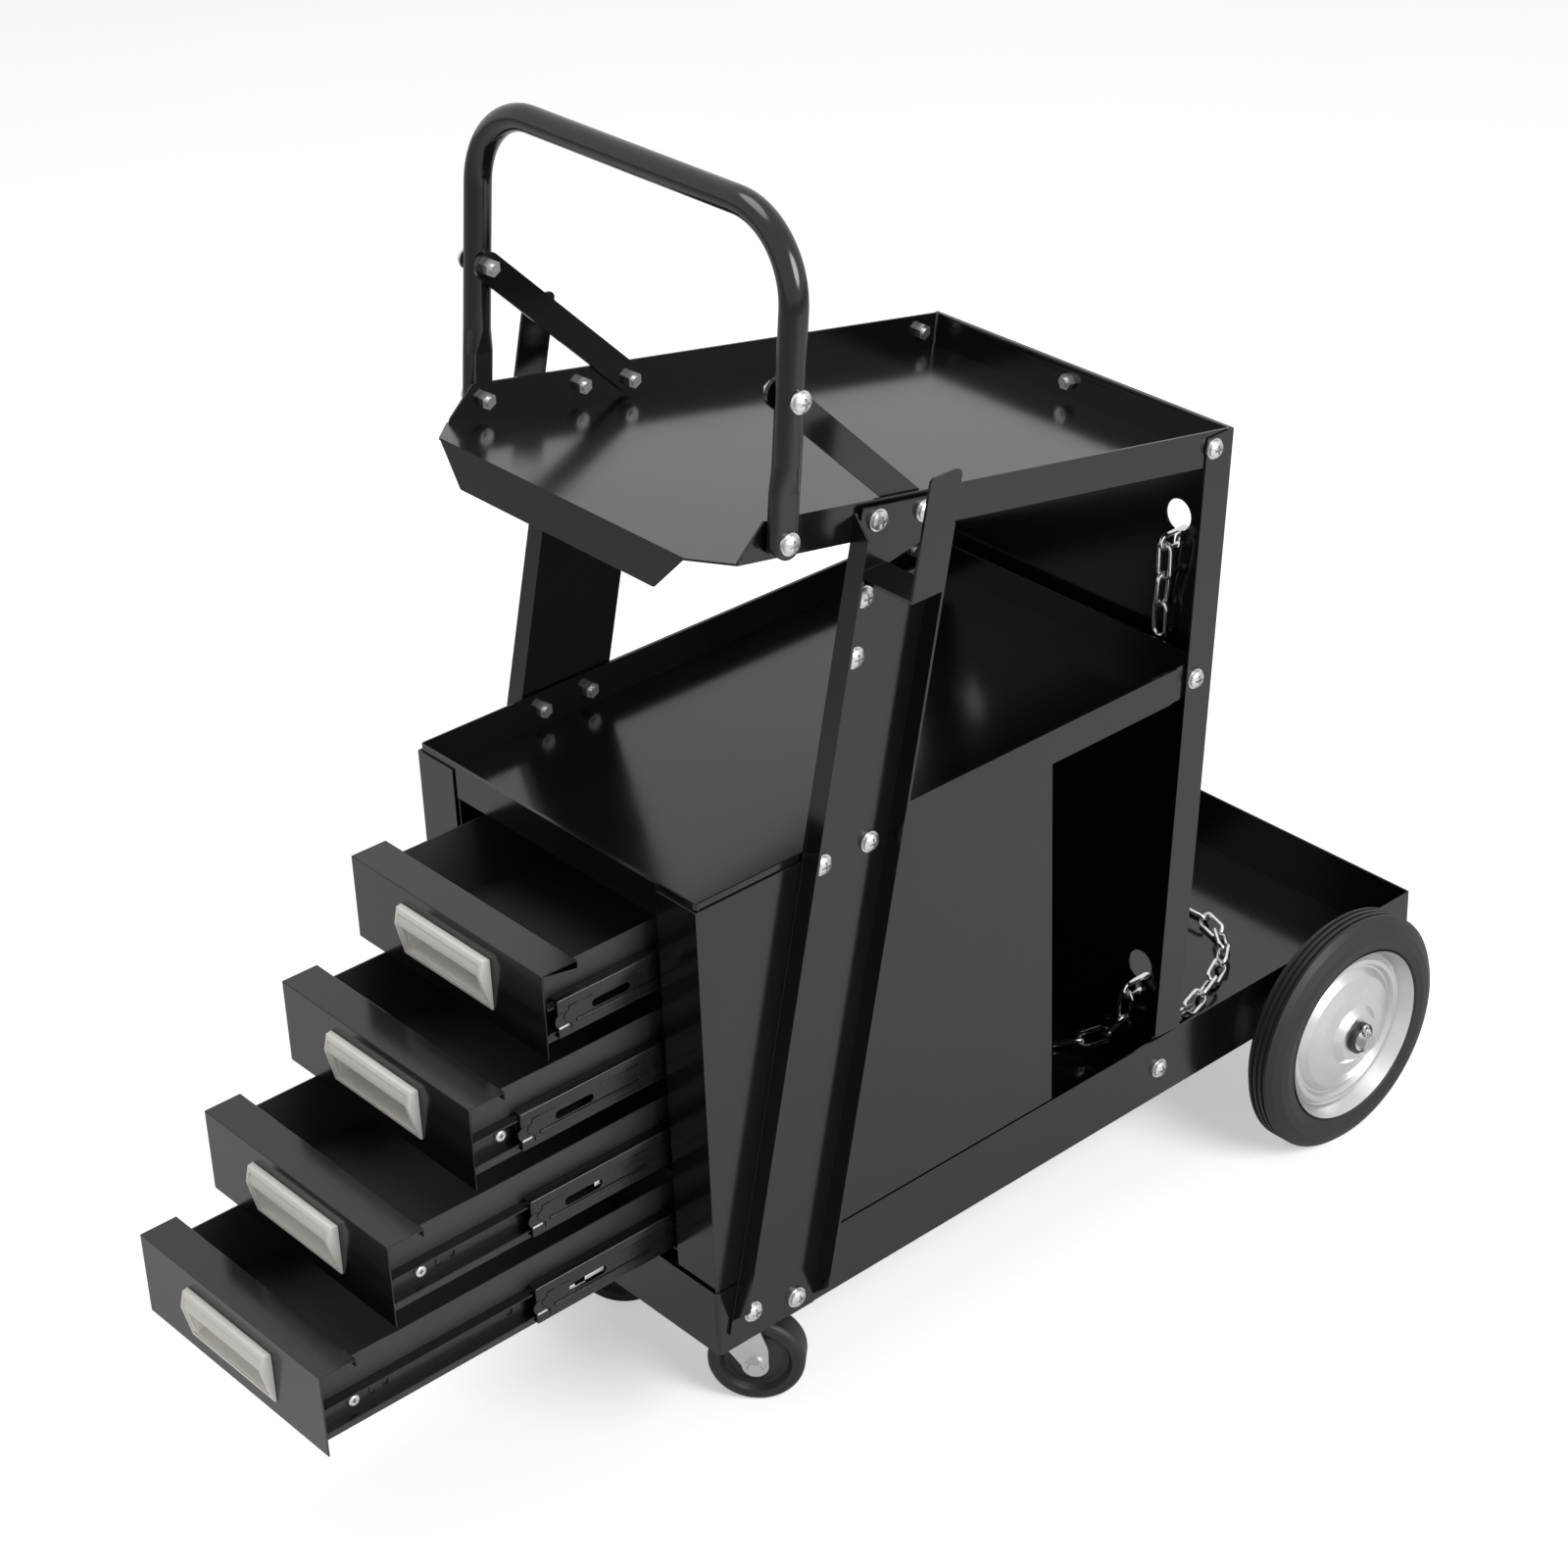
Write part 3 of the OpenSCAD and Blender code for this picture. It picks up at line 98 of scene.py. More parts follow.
def new_material(name):
    """An empty node material and its tree"""
    made = bpy.data.materials.new(name)
    made.use_nodes = True
    made.node_tree.nodes.clear()
    return made, made.node_tree


def output(tree, shader):
    """Ends a material with its shader"""
    add(tree, "ShaderNodeOutputMaterial", links={"Surface": shader.outputs[0]})


class CartFinishes(bpy.types.PropertyGroup):
    """Colours of the finishes"""
    powder: bpy.props.FloatVectorProperty(
        name="Powder coat", description="Colour of the powder coat on the sheet metal",
        size=4, subtype="COLOR", default=colour("#0c0c0d"))
    zinc: bpy.props.FloatVectorProperty(
        name="Zinc plate", description="Colour of the zinc on bolts, nuts and casters",
        size=4, subtype="COLOR", default=colour("#cfd0d1"))
    rim: bpy.props.FloatVectorProperty(
        name="Wheel disc", description="Colour of the zinc on the pressed wheel discs",
        size=4, subtype="COLOR", default=colour("#cdcecf"))
    tyre: bpy.props.FloatVectorProperty(
        name="Tyre rubber", description="Colour of the tyres",
        size=4, subtype="COLOR", default=colour("#141415"))
    pull: bpy.props.FloatVectorProperty(
        name="Drawer pulls", description="Colour of the moulded pulls",
        size=4, subtype="COLOR", default=colour("#e0dcd6"))


class CartSizes(bpy.types.PropertyGroup):
    """Sizes of the pieces that are built here"""
    sheet_round: bpy.props.FloatProperty(
        name="Sheet edge round", description="Width of the round on the edges of the sheet metal",
        default=0.0005, min=0.0001, max=0.0007, precision=4, unit="LENGTH")
    rail_round: bpy.props.FloatProperty(
        name="Rail edge round", description="Width of the round on the lips of the drawer members",
        default=0.0003, min=0.0001, max=0.0005, precision=4, unit="LENGTH")
    box_sheet: bpy.props.FloatProperty(
        name="Box sheet", description="Thickness of the drawer boxes",
        default=0.001, min=0.0006, max=0.002, precision=4, unit="LENGTH")
    box_drop: bpy.props.FloatProperty(
        name="Box drop", description="How far the drawer boxes reach down past the slides",
        default=0.0084, min=0.0, max=0.01, precision=4, unit="LENGTH")
    box_tab: bpy.props.FloatProperty(
        name="Box tab", description="Width of the tabs that hold the box to the drawer's front",
        default=0.012, min=0.006, max=0.02, precision=4, unit="LENGTH")
    pull_width: bpy.props.FloatProperty(
        name="Pull width", description="Width of the moulded pulls",
        default=0.092, min=0.09, max=0.11, precision=4, unit="LENGTH")
    pull_height: bpy.props.FloatProperty(
        name="Pull height", description="Height of the moulded pulls",
        default=0.037, min=0.034, max=0.042, precision=4, unit="LENGTH")
    pull_depth: bpy.props.FloatProperty(
        name="Pull depth", description="How far the ridge of a pull stands out from the drawer",
        default=0.008, min=0.006, max=0.01, precision=4, unit="LENGTH")
    detent: bpy.props.FloatProperty(
        name="Detent line", description="Width of the lanced line on the middle members",
        default=0.0008, min=0.0004, max=0.0012, precision=4, unit="LENGTH")


class CartStudio(bpy.types.PropertyGroup):
    """Light and floor of the studio"""
    daylight: bpy.props.FloatProperty(
        name="Daylight", description="Strength of the white surroundings on matt surfaces",
        default=0.4, min=0.0, max=2.0)
    key: bpy.props.FloatProperty(
        name="Key lamp", description="Power of the large lamp at the right",
        default=60.0, min=0.0, max=400.0, unit="POWER")
    floor: bpy.props.FloatProperty(
        name="Floor size", description="Side of the square floor",
        default=16.0, min=2.0, max=60.0, unit="LENGTH")


def powder_coat(finishes):
    """Black powder coat on pressed sheet: a thick glossy polymer film with fine orange peel"""
    # Seen as near black with clear reflections, which the peel breaks up a little at their edges
    made, tree = new_material("powder_coat")
    place = add(tree, "ShaderNodeTexCoord").outputs["Object"]
    peel = add(tree, "ShaderNodeTexNoise", {"Scale": per_mm(1.6), "Detail": 1.5}, {"Vector": place})
    drift = add(tree, "ShaderNodeTexNoise", {"Scale": per_mm(70), "Detail": 3.0}, {"Vector": place})
    tone = add(tree, "ShaderNodeMix", {"data_type": "RGBA"}, {"Factor": drift.outputs["Fac"]})
    tone.inputs["A"].default_value = [c * 0.7 for c in finishes.powder[:3]] + [1.0]
    tone.inputs["B"].default_value = [c * 1.4 for c in finishes.powder[:3]] + [1.0]
    gloss = add(tree, "ShaderNodeMapRange", {"To Min": 0.12, "To Max": 0.2},
                {"Value": drift.outputs["Fac"]})
    bump = add(tree, "ShaderNodeBump", {"Strength": 0.12, "Distance": 0.00002},
               {"Height": peel.outputs["Fac"]})
    shader = add(tree, "ShaderNodeBsdfPrincipled", {"IOR": 1.5}, {
        "Base Color": tone.outputs["Result"], "Roughness": gloss.outputs["Result"],
        "Normal": bump.outputs["Normal"]})
    output(tree, shader)
    return made


def plated_metal(name, tint, rough, grain):
    """Zinc or nickel on steel: bright, with a mottle where the plating took unevenly"""
    # Seen as light grey with soft highlights. The mottle is coarser than real plating, so that it shows
    made, tree = new_material(name)
    place = add(tree, "ShaderNodeTexCoord").outputs["Object"]
    mottle = add(tree, "ShaderNodeTexNoise", {"Scale": per_mm(grain), "Detail": 4.0}, {"Vector": place})
    tone = add(tree, "ShaderNodeMix", {"data_type": "RGBA"}, {"Factor": mottle.outputs["Fac"]})
    tone.inputs["A"].default_value = [c * 0.93 for c in tint[:3]] + [1.0]
    tone.inputs["B"].default_value = [min(1, c * 1.06) for c in tint[:3]] + [1.0]
    gloss = add(tree, "ShaderNodeMapRange", {"To Min": rough * 0.85, "To Max": rough * 1.15},
                {"Value": mottle.outputs["Fac"]})
    bump = add(tree, "ShaderNodeBump", {"Strength": 0.1, "Distance": 0.00001},
               {"Height": mottle.outputs["Fac"]})
    shader = add(tree, "ShaderNodeBsdfPrincipled", {"Metallic": 1.0}, {
        "Base Color": tone.outputs["Result"], "Roughness": gloss.outputs["Result"],
        "Normal": bump.outputs["Normal"]})
    output(tree, shader)
    return made


def moulded(name, tint, rough, grain, depth):
    """Rubber or plastic from a mould: even colour, a fine skin and a little handling dust"""
    # Seen as a matt to silky surface without sharp reflections
    made, tree = new_material(name)
    place = add(tree, "ShaderNodeTexCoord").outputs["Object"]
    skin = add(tree, "ShaderNodeTexNoise", {"Scale": per_mm(grain), "Detail": 2.0}, {"Vector": place})
    dust = add(tree, "ShaderNodeTexNoise", {"Scale": per_mm(45), "Detail": 5.0}, {"Vector": place})
    tone = add(tree, "ShaderNodeMix", {"data_type": "RGBA"}, {"Factor": dust.outputs["Fac"]})
    tone.inputs["A"].default_value = [c * 0.92 for c in tint[:3]] + [1.0]
    tone.inputs["B"].default_value = [min(1, c * 1.08) for c in tint[:3]] + [1.0]
    gloss = add(tree, "ShaderNodeMapRange", {"To Min": rough - 0.06, "To Max": rough + 0.06},
                {"Value": dust.outputs["Fac"]})
    bump = add(tree, "ShaderNodeBump", {"Strength": 0.3, "Distance": depth / 1000},
               {"Height": skin.outputs["Fac"]})
    shader = add(tree, "ShaderNodeBsdfPrincipled", {"IOR": 1.5}, {
        "Base Color": tone.outputs["Result"], "Roughness": gloss.outputs["Result"],
        "Normal": bump.outputs["Normal"]})
    output(tree, shader)
    return made


def drawn_steel(name, tint):
    """Black electro-coat on roll-formed slide rails: glossy, with faint lines along the rail"""
    # Seen as black whose highlights are drawn out along the rail
    made, tree = new_material(name)
    place = add(tree, "ShaderNodeTexCoord").outputs["Object"]
    along = add(tree, "ShaderNodeMapping", {"Scale": (1.0, 0.03, 1.0)}, {"Vector": place})
    lines = add(tree, "ShaderNodeTexNoise", {"Scale": per_mm(1.2), "Detail": 3.0},
                {"Vector": along.outputs["Vector"]})
    gloss = add(tree, "ShaderNodeMapRange", {"To Min": 0.2, "To Max": 0.36},
                {"Value": lines.outputs["Fac"]})
    tone = add(tree, "ShaderNodeMix", {"data_type": "RGBA"}, {"Factor": lines.outputs["Fac"]})
    tone.inputs["A"].default_value = [c * 0.7 for c in tint[:3]] + [1.0]
    tone.inputs["B"].default_value = [c * 1.6 for c in tint[:3]] + [1.0]
    bump = add(tree, "ShaderNodeBump", {"Strength": 0.12, "Distance": 0.00002},
               {"Height": lines.outputs["Fac"]})
    shader = add(tree, "ShaderNodeBsdfPrincipled", {"IOR": 1.5}, {
        "Base Color": tone.outputs["Result"], "Roughness": gloss.outputs["Result"],
        "Normal": bump.outputs["Normal"]})
    output(tree, shader)
    return made


def paint(names, material, edge=0.0):
    """Gives CAD nodes a finish, and sheet edges the small round that catches the light"""
    for name in names:
        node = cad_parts[name]
        node.data.materials.clear()
        node.data.materials.append(material)
        if edge:
            weld = node.modifiers.new("joined", "WELD")
            weld.merge_threshold = 1e-5
            flat = node.modifiers.new("flats", "DECIMATE")
            flat.decimate_type = "DISSOLVE"
            flat.angle_limit = math.radians(0.5)
            bevel = node.modifiers.new("edges", "BEVEL")
            bevel.width = edge
            bevel.segments = 2
            bevel.limit_method = "ANGLE"
            bevel.angle_limit = math.radians(40)
            bevel.use_clamp_overlap = True
            bevel.harden_normals = False


def pick_faces(piece, wanted):
    """Opens a piece for editing with only the faces whose middle and normal pass the test"""
    bpy.ops.object.mode_set(mode="OBJECT")
    for part in (*piece.data.vertices, *piece.data.edges):
        part.select = False
    for face in piece.data.polygons:
        face.select = wanted(face.center, face.normal)
    bpy.ops.object.mode_set(mode="EDIT")
    bpy.ops.mesh.select_mode(type="FACE")


def only(*pieces):
    """Selects these pieces and nothing else, the first one active"""
    if bpy.context.object and bpy.context.object.mode != "OBJECT":
        bpy.ops.object.mode_set(mode="OBJECT")
    bpy.ops.object.select_all(action="DESELECT")
    for piece in pieces:
        piece.select_set(True)
    bpy.context.view_layer.objects.active = pieces[0]


def block(low, high):
    """Adds a box between two corners in millimetres"""
    middle = [(a + b) / 2000 for a, b in zip(low, high)]
    bpy.ops.mesh.primitive_cube_add(size=1, location=middle)
    made = bpy.context.object
    made.scale = [(b - a) / 1000 for a, b in zip(low, high)]
    bpy.ops.object.transform_apply(location=True, rotation=True, scale=True)
    return made


def disc(radius, low, high, sides=32):
    """Adds a round bar along X, in millimetres"""
    bpy.ops.mesh.primitive_cylinder_add(
        vertices=sides, radius=radius / 1000, depth=(high - low) / 1000,
        location=((low + high) / 2000, 0, 0), rotation=(0, math.pi / 2, 0))
    made = bpy.context.object
    bpy.ops.object.transform_apply(location=True, rotation=True, scale=True)
    return made


def carve(piece, tool):
    """Cuts a tool out of a piece and takes the tool away"""
    only(piece)
    cut = piece.modifiers.new("cut", "BOOLEAN")
    cut.object = tool
    cut.solver = "EXACT"
    bpy.ops.object.modifier_apply(modifier="cut")
    bpy.data.objects.remove(tool)


def soften(piece, width, angle=35, segments=2):
    """Rounds the edges of a piece by a width in millimetres"""
    only(piece)
    round_off = piece.modifiers.new("round", "BEVEL")
    round_off.width = width / 1000
    round_off.segments = segments
    round_off.limit_method = "ANGLE"
    round_off.angle_limit = math.radians(angle)
    bpy.ops.object.modifier_apply(modifier="round")


def finish(piece, name, material, body):
    """Gives a piece its name, material, smooth shading and body"""
    only(piece)
    piece.name = name
    bpy.ops.object.mode_set(mode="EDIT")
    bpy.ops.mesh.select_all(action="SELECT")
    bpy.ops.mesh.normals_make_consistent(inside=False)
    bpy.ops.object.mode_set(mode="OBJECT")
    bpy.ops.object.shade_smooth_by_angle(angle=math.radians(SMOOTH))
    piece.data.materials.clear()
    piece.data.materials.append(material)
    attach(piece, body)


def copy_to(model, place):
    """A copy of a model with its own mesh, moved there by a matrix"""
    twin = model.copy()
    twin.data = model.data.copy()
    bpy.context.scene.collection.objects.link(twin)
    twin.data.transform(place)
    return twin


def shift(spot):
    """Matrix that moves to a spot in millimetres"""
    return Matrix.Translation([v / 1000 for v in spot])


def mount(model, name, spot, material, body):
    """Sets a copy of a model at a spot on the right and its mirror image on the left, as one piece"""
    copies = [copy_to(model, Matrix.Diagonal((side, 1, 1, 1)) @ shift(spot)) for side in (1, -1)]
    only(*copies)
    bpy.ops.object.join()
    piece = bpy.context.object
    finish(piece, name, material, body)
    return piece


def corner(node):
    """Lowest and highest corner of a CAD node in millimetres"""
    low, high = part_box(node)
    return [v * 1000 for v in low], [v * 1000 for v in high]


def screw_head():
    """A zinc truss head with a cross recess, standing out along X"""
    head = disc(4.1, 0, 2.4)
    pick_faces(head, lambda middle, normal: normal.x > 0.9)
    bpy.ops.mesh.bevel(offset=0.0016, segments=4, profile=0.55, affect="EDGES")
    bpy.ops.object.mode_set(mode="OBJECT")
    for half_y, half_z in ((1.9, 0.45), (0.45, 1.9)):
        carve(head, block((1.3, -half_y, -half_z), (4, half_y, half_z)))
    soften(head, 0.12)
    return head


def pressed_tab():
    """The lanced tab behind the screw: a tongue with a round end, raised from the web"""
    tongue = block((-0.5, -2.0, -3.6), (0.7, 2.0, 4.2))
    soften(tongue, 0.5, segments=3)
    return tongue


def slice_off(piece, point, normal):
    """Cuts a piece along a plane in millimetres and caps it. The side that the normal points to goes"""
    only(piece)
    bpy.ops.object.mode_set(mode="EDIT")
    bpy.ops.mesh.select_all(action="SELECT")
    bpy.ops.mesh.bisect(
        plane_co=[v / 1000 for v in point], plane_no=Vector(normal).normalized(),
        use_fill=True, clear_outer=True)
    bpy.ops.object.mode_set(mode="OBJECT")


def unite(piece, other):
    """Merges another solid into a piece"""
    only(piece)
    join = piece.modifiers.new("join", "BOOLEAN")
    join.operation = "UNION"
    join.object = other
    join.solver = "EXACT"
    bpy.ops.object.modifier_apply(modifier="join")
    bpy.data.objects.remove(other)


def pull(sizes):
    """A moulded pull, its middle at the origin and its back on the drawer's front"""
    half_w = mm(sizes.pull_width) / 2
    half_h = mm(sizes.pull_height) / 2
    depth = mm(sizes.pull_depth)
    ridge = 8
    top_out, foot_out, side_lean = 5, 1.5, 1.6
    rim, rim_step = 3.5, 0.9
    wall, bottom = 1.2, 12

    # The wedge: its face slopes from the ridge up to the top edge and down to the foot
    body = block((-half_w, -depth, -half_h), (half_w, 0, half_h))
    lower_slope = (0, -half_h - ridge, foot_out - depth)
    upper_slope = (0, ridge - half_h, depth - top_out)
    for slope in (lower_slope, upper_slope):
        slice_off(body, (0, -depth, ridge), slope)
    for side in (1, -1):
        slice_off(body, (side * half_w, 0, 0), (side * depth, -side_lean, 0))
    soften(body, 0.9, segments=3)

    # The step inside the rim
    step_w = half_w - rim - 0.1
    step_h = half_h - rim
    for slope in (lower_slope, upper_slope):
        step = block((-step_w, -14, -step_h), (step_w, 0, step_h))
        slice_off(step, (0, rim_step - depth, ridge), [-v for v in slope])
        carve(body, step)

    # The scoop behind the drawer's front, and the room in it under the hood
    foot_z = -13.2
    scoop = block((3 - half_w, -1, foot_z - 3), (half_w - 3, bottom, 15.4))
    slice_off(scoop, (0, -1, foot_z - 3), (0, 8, -11.5))
    unite(body, scoop)
    room_w = half_w - 6
    floor_edge, floor_slope = (0, -2.6, foot_z), (0, 7.4, -11.5)
    room = block((-room_w, -bottom, foot_z), (room_w, bottom - wall, 13))
    slice_off(room, floor_edge, floor_slope)
    slice_off(room, (0, -5.6, 6), upper_slope)
    for side in (1, -1):
        slice_off(room, (side * room_w, -8, 0), (side * 19, 6, 0))
    carve(body, room)
    mouth_w = room_w - 0.8
    mouth = block((-mouth_w, -14, foot_z), (mouth_w, -2, 6.4))
    slice_off(mouth, floor_edge, floor_slope)
    carve(body, mouth)
    soften(body, 0.35)
    return body


def slit(piece, points, width):
    """Cuts a lanced line through a web along points in depth and height"""
    for (y0, z0), (y1, z1) in zip(points, points[1:]):
        turn = math.atan2(z1 - z0, y1 - y0)
        half = math.hypot(y1 - y0, z1 - z0) / 2 + width / 2
        tool = block((-0.9, -half, -width / 2), (2, half, width / 2))
        only(tool)
        bpy.ops.transform.rotate(value=-turn, orient_axis="X", center_override=(0, 0, 0))
        bpy.ops.transform.translate(value=(0, (y0 + y1) / 2000, (z0 + z1) / 2000))
        bpy.ops.object.transform_apply(location=True, rotation=True, scale=True)
        carve(piece, tool)


def bead(piece, low, high, z, tall, out):
    """Raises a rolled bead with round ends on a web"""
    bar = block((-0.6, low, z - tall / 2), (out, high, z + tall / 2))
    soften(bar, min(tall, out) * 0.45, segments=3)
    unite(piece, bar)


def ball_row(start, x, z, radius):
    """Two rows of slide balls, above and below the rail, from a given depth on"""
    pitch, count = 12.53, 7
    balls = []
    for i in range(count):
        for side in (1, -1):
            bpy.ops.mesh.primitive_ico_sphere_add(
                subdivisions=2, radius=radius / 1000,
                location=(x / 1000, (start + pitch * i) / 1000, side * z / 1000))
            bpy.ops.object.transform_apply(location=True, rotation=True, scale=True)
            balls.append(bpy.context.object)
    return balls


def middle_member(sizes):
    """A middle member: a channel with a slot, beads, a detent line, a round nose and its balls"""
    length, half_h, depth, sheet = 258, 13.75, 7.87, 1.2
    member = block((-depth, 0, -half_h), (0, length, half_h))
    soften(member, 1.0, segments=3)
    inner_h = half_h - 1.25
    carve(member, block((-9, -1, -inner_h), (-sheet, length + 1, inner_h)))

    # The nose that meets the drawer member
    nose = disc(5.2, -sheet, 0.3, 40)
    nose.data.transform(shift((0, 2.5, -0.8)))
    unite(member, nose)

    # The slot with round ends
    slot_r, slot_z, slot_ends = 3, 0.3, (29, 53)
    gap = block((-slot_r, slot_ends[0], slot_z - slot_r), (slot_r, slot_ends[1], slot_z + slot_r))
    for y in slot_ends:
        end = disc(slot_r, -slot_r, slot_r)
        end.data.transform(shift((0, y, slot_z)))
        unite(gap, end)
    carve(member, gap)

    # A deep bead below the slot and two shallow ones above it
    bead(member, 13.5, 92, -5.4, 2.4, 0.9)
    bead(member, 14.5, 27, 6.8, 0.7, 0.35)
    bead(member, 62, 92, 6.8, 0.7, 0.35)
    slit(member, ((14, 7.2), (8.6, 7.2), (8, 4.4), (4.6, 2.6), (3.9, 0.8), (4.7, -1.6),
                  (7.9, -4), (9.8, -6.3), (9.7, -9.4)), mm(sizes.detent))
    soften(member, 0.16)
    balls = ball_row(160, -6.35, 15.03, 1.21) + ball_row(31, -6.41, 11.09, 1.4)
    only(member, *balls)
    bpy.ops.object.join()
    return member


def slot_lever(start):
    """The bright release lever in the slot from a given depth on: flats joined by a bent neck"""
    back, front = -2.2, -1.4
    neck_end = 39.5
    lever = block((back, max(start, neck_end), -1.2), (front, 55, 2.8))
    if start < neck_end:
        unite(lever, block((back, start, -2.4), (front, start + 5, 0.9)))
        unite(lever, block((back, start + 4.5, -2.4), (front, neck_end + 0.5, -1.6)))
    soften(lever, 0.3)
    return lever


class CART_OT_sheet_metal(bpy.types.Operator):
    """Powder coats the sheet metal, the tray, the handle and the hooks"""
    bl_idname = "cart.sheet_metal"
    bl_label = "Sheet metal"

    def execute(self, context):
        coat = powder_coat(context.scene.cart_finishes)
        edge = context.scene.cart_sizes.sheet_round
        sheets = ["base_tray", "axle_brackets", "shelf_pan", "cabinet_back", "rear_panel", "top_tray"]
        for side in SIDES:
            sheets += [side + "_side_panel", side + "_slide_wall", side + "_strut", side + "_hook"]
        sheets += ["drawer_%d_front" % n for n in DRAWERS]
        paint(sheets, coat, edge)
        paint(["handle", "handle_braces"], coat)
        return {"FINISHED"}


class CART_OT_hardware(bpy.types.Operator):
    """Plates the bolts, nuts, washers, chains, axle and casters"""
    bl_idname = "cart.hardware"
    bl_label = "Hardware"

    def execute(self, context):
        finishes = context.scene.cart_finishes
        # Passivated zinc on bolts, nuts and casters: satin
        zinc = plated_metal("zinc_plate", finishes.zinc, 0.34, 2.5)
        # Nickel on the chain's welded links: the brightest metal here
        nickel = plated_metal("chain_nickel", colour("#e2e1df"), 0.2, 4.0)
        # Bare drawn steel of the axle and its pins: darker and warmer than the plating
        steel = plated_metal("axle_steel", colour("#b9babb"), 0.3, 3.0)
        casters = [side + "_caster_" + part for side in SIDES for part in ("plate", "fork", "axle")]
        paint(["bolts", "nuts", "axle_washers"] + casters, zinc)
        paint(["rear_axle", "split_pins"], steel)
        paint(["upper_chain", "upper_chain_tail", "lower_chain"], nickel)
        return {"FINISHED"}


class CART_OT_wheels(bpy.types.Operator):
    """Finishes the wheel discs, tyres, bushes and caster rollers"""
    bl_idname = "cart.wheels"
    bl_label = "Wheels"

    def execute(self, context):
        finishes = context.scene.cart_finishes
        # Zinc on the deep-drawn discs: smooth, with slow changes of tone over the dish
        dish = plated_metal("rim_zinc", finishes.rim, 0.3, 14.0)
        # Solid rubber tyre: matt, with a skin from the mould
        rubber = moulded("tyre_rubber", finishes.tyre, 0.55, 0.8, 0.05)
        # Nylon bush: silky black
        bush = moulded("bush_plastic", colour("#141415"), 0.42, 1.0, 0.02)
        # Hard rubber of the casters: a little lighter and smoother than the tyres
        roller = moulded("caster_rubber", colour("#1b1b1c"), 0.48, 0.9, 0.03)
        for side in SIDES:
            paint([side + "_rim"], dish)
            paint([side + "_tyre"], rubber)
            paint([side + "_bush"], bush)
            paint([side + "_caster_wheel"], roller)
        return {"FINISHED"}


class CART_OT_drawer_boxes(bpy.types.Operator):
    """Builds the drawer boxes, their sides drawn down over the slides"""
    bl_idname = "cart.drawer_boxes"
    bl_label = "Drawer boxes"

    def execute(self, context):
        coat = bpy.data.materials["powder_coat"]
        sizes = context.scene.cart_sizes
        sheet = mm(sizes.box_sheet)
        for n in DRAWERS:
            low, high = corner("drawer_%d_box" % n)
            foot = low[2] - mm(sizes.box_drop)
            box = block((low[0], low[1], foot), high)
            carve(box, block((low[0] + sheet, low[1] - 1, foot + sheet),
                             (high[0] - sheet, high[1] - sheet, high[2] + 1)))
            for side in (1, -1):
                ends = sorted((side * (high[0] - sheet / 2), side * (high[0] - mm(sizes.box_tab))))
                unite(box, block((ends[0], low[1], foot + sheet / 2), (ends[1], low[1] + sheet, high[2])))
            soften(box, 0.3)
            finish(box, "drawer_%d_deep_box" % n, coat, "drawer_%d" % n)
            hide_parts("drawer_%d_box" % n)
        return {"FINISHED"}


class CART_OT_pulls(bpy.types.Operator):
    """Builds the recessed pulls: a wedge-shaped frame, a hood and a scoop behind it"""
    bl_idname = "cart.pulls"
    bl_label = "Pulls"

    def execute(self, context):
        # Moulded nylon of the pulls: warm light grey and silky
        plastic = moulded("pull_plastic", context.scene.cart_finishes.pull, 0.42, 0.7, 0.02)
        sizes = context.scene.cart_sizes
        model = pull(sizes)
        for n in DRAWERS:
            low, high = corner("drawer_%d_pull" % n)
            spot = (0, low[1] + mm(sizes.pull_depth), (low[2] + high[2]) / 2)
            piece = copy_to(model, shift(spot))
            finish(piece, "drawer_%d_grip" % n, plastic, "drawer_%d" % n)
            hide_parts("drawer_%d_pull" % n)
        bpy.data.objects.remove(model)
        return {"FINISHED"}


class CART_OT_slides(bpy.types.Operator):
    """Finishes the slides and builds their middle members, screws, tabs and levers"""
    bl_idname = "cart.slides"
    bl_label = "Slides"

    def execute(self, context):
        # Black electro-coat on the slides, its tint set darker than the powder coat as painted shade for
        # the shadow between the drawers and the cabinet walls
        rail = drawn_steel("slide_steel", colour("#080809"))
        zinc = bpy.data.materials["zinc_plate"]
        sizes = context.scene.cart_sizes
        paint(["cabinet_slides"], rail)
        paint(["drawer_%d_inner_slides" % n for n in DRAWERS], rail, sizes.rail_round)

        # How far the web lies inside the drawer members' box, and out from the cart's middle
        inner_web, middle_web = 6.67, 97.96
        screw_share, tab_gap = 0.08, 14
        member = middle_member(sizes)
        tooth = block((-0.9, 0, -6.6), (0.4, 7.6, -4.9))
        soften(tooth, 0.3)
        levers = {3: slot_lever(50.5), 4: slot_lever(26.5)}
        screw = screw_head()
        tab = pressed_tab()
        for n in DRAWERS:
            low, high = corner("drawer_%d_inner_slides" % n)
            z = (low[2] + high[2]) / 2
            web = high[0] - inner_web
            y = low[1] + screw_share * (high[1] - low[1])
            body = "drawer_%d" % n
            mount(screw, body + "_slide_screws", (web, y, z), zinc, body)
            mount(tab, body + "_slide_tabs", (web, y + tab_gap, z), rail, body)
            low, high = corner("drawer_%d_middle_slides" % n)
            spot = (middle_web, low[1], z)
            body = "middle_slides_%d" % n
            steel = mount(member, body + "_members", spot, rail, body)
            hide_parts("drawer_%d_middle_slides" % n)
            mount(tooth, body + "_catches", spot, zinc, body)
            if n in levers:
                mount(levers[n], body + "_levers", spot, zinc, body)
        for model in (member, tooth, screw, tab, *levers.values()):
            bpy.data.objects.remove(model)
        return {"FINISHED"}


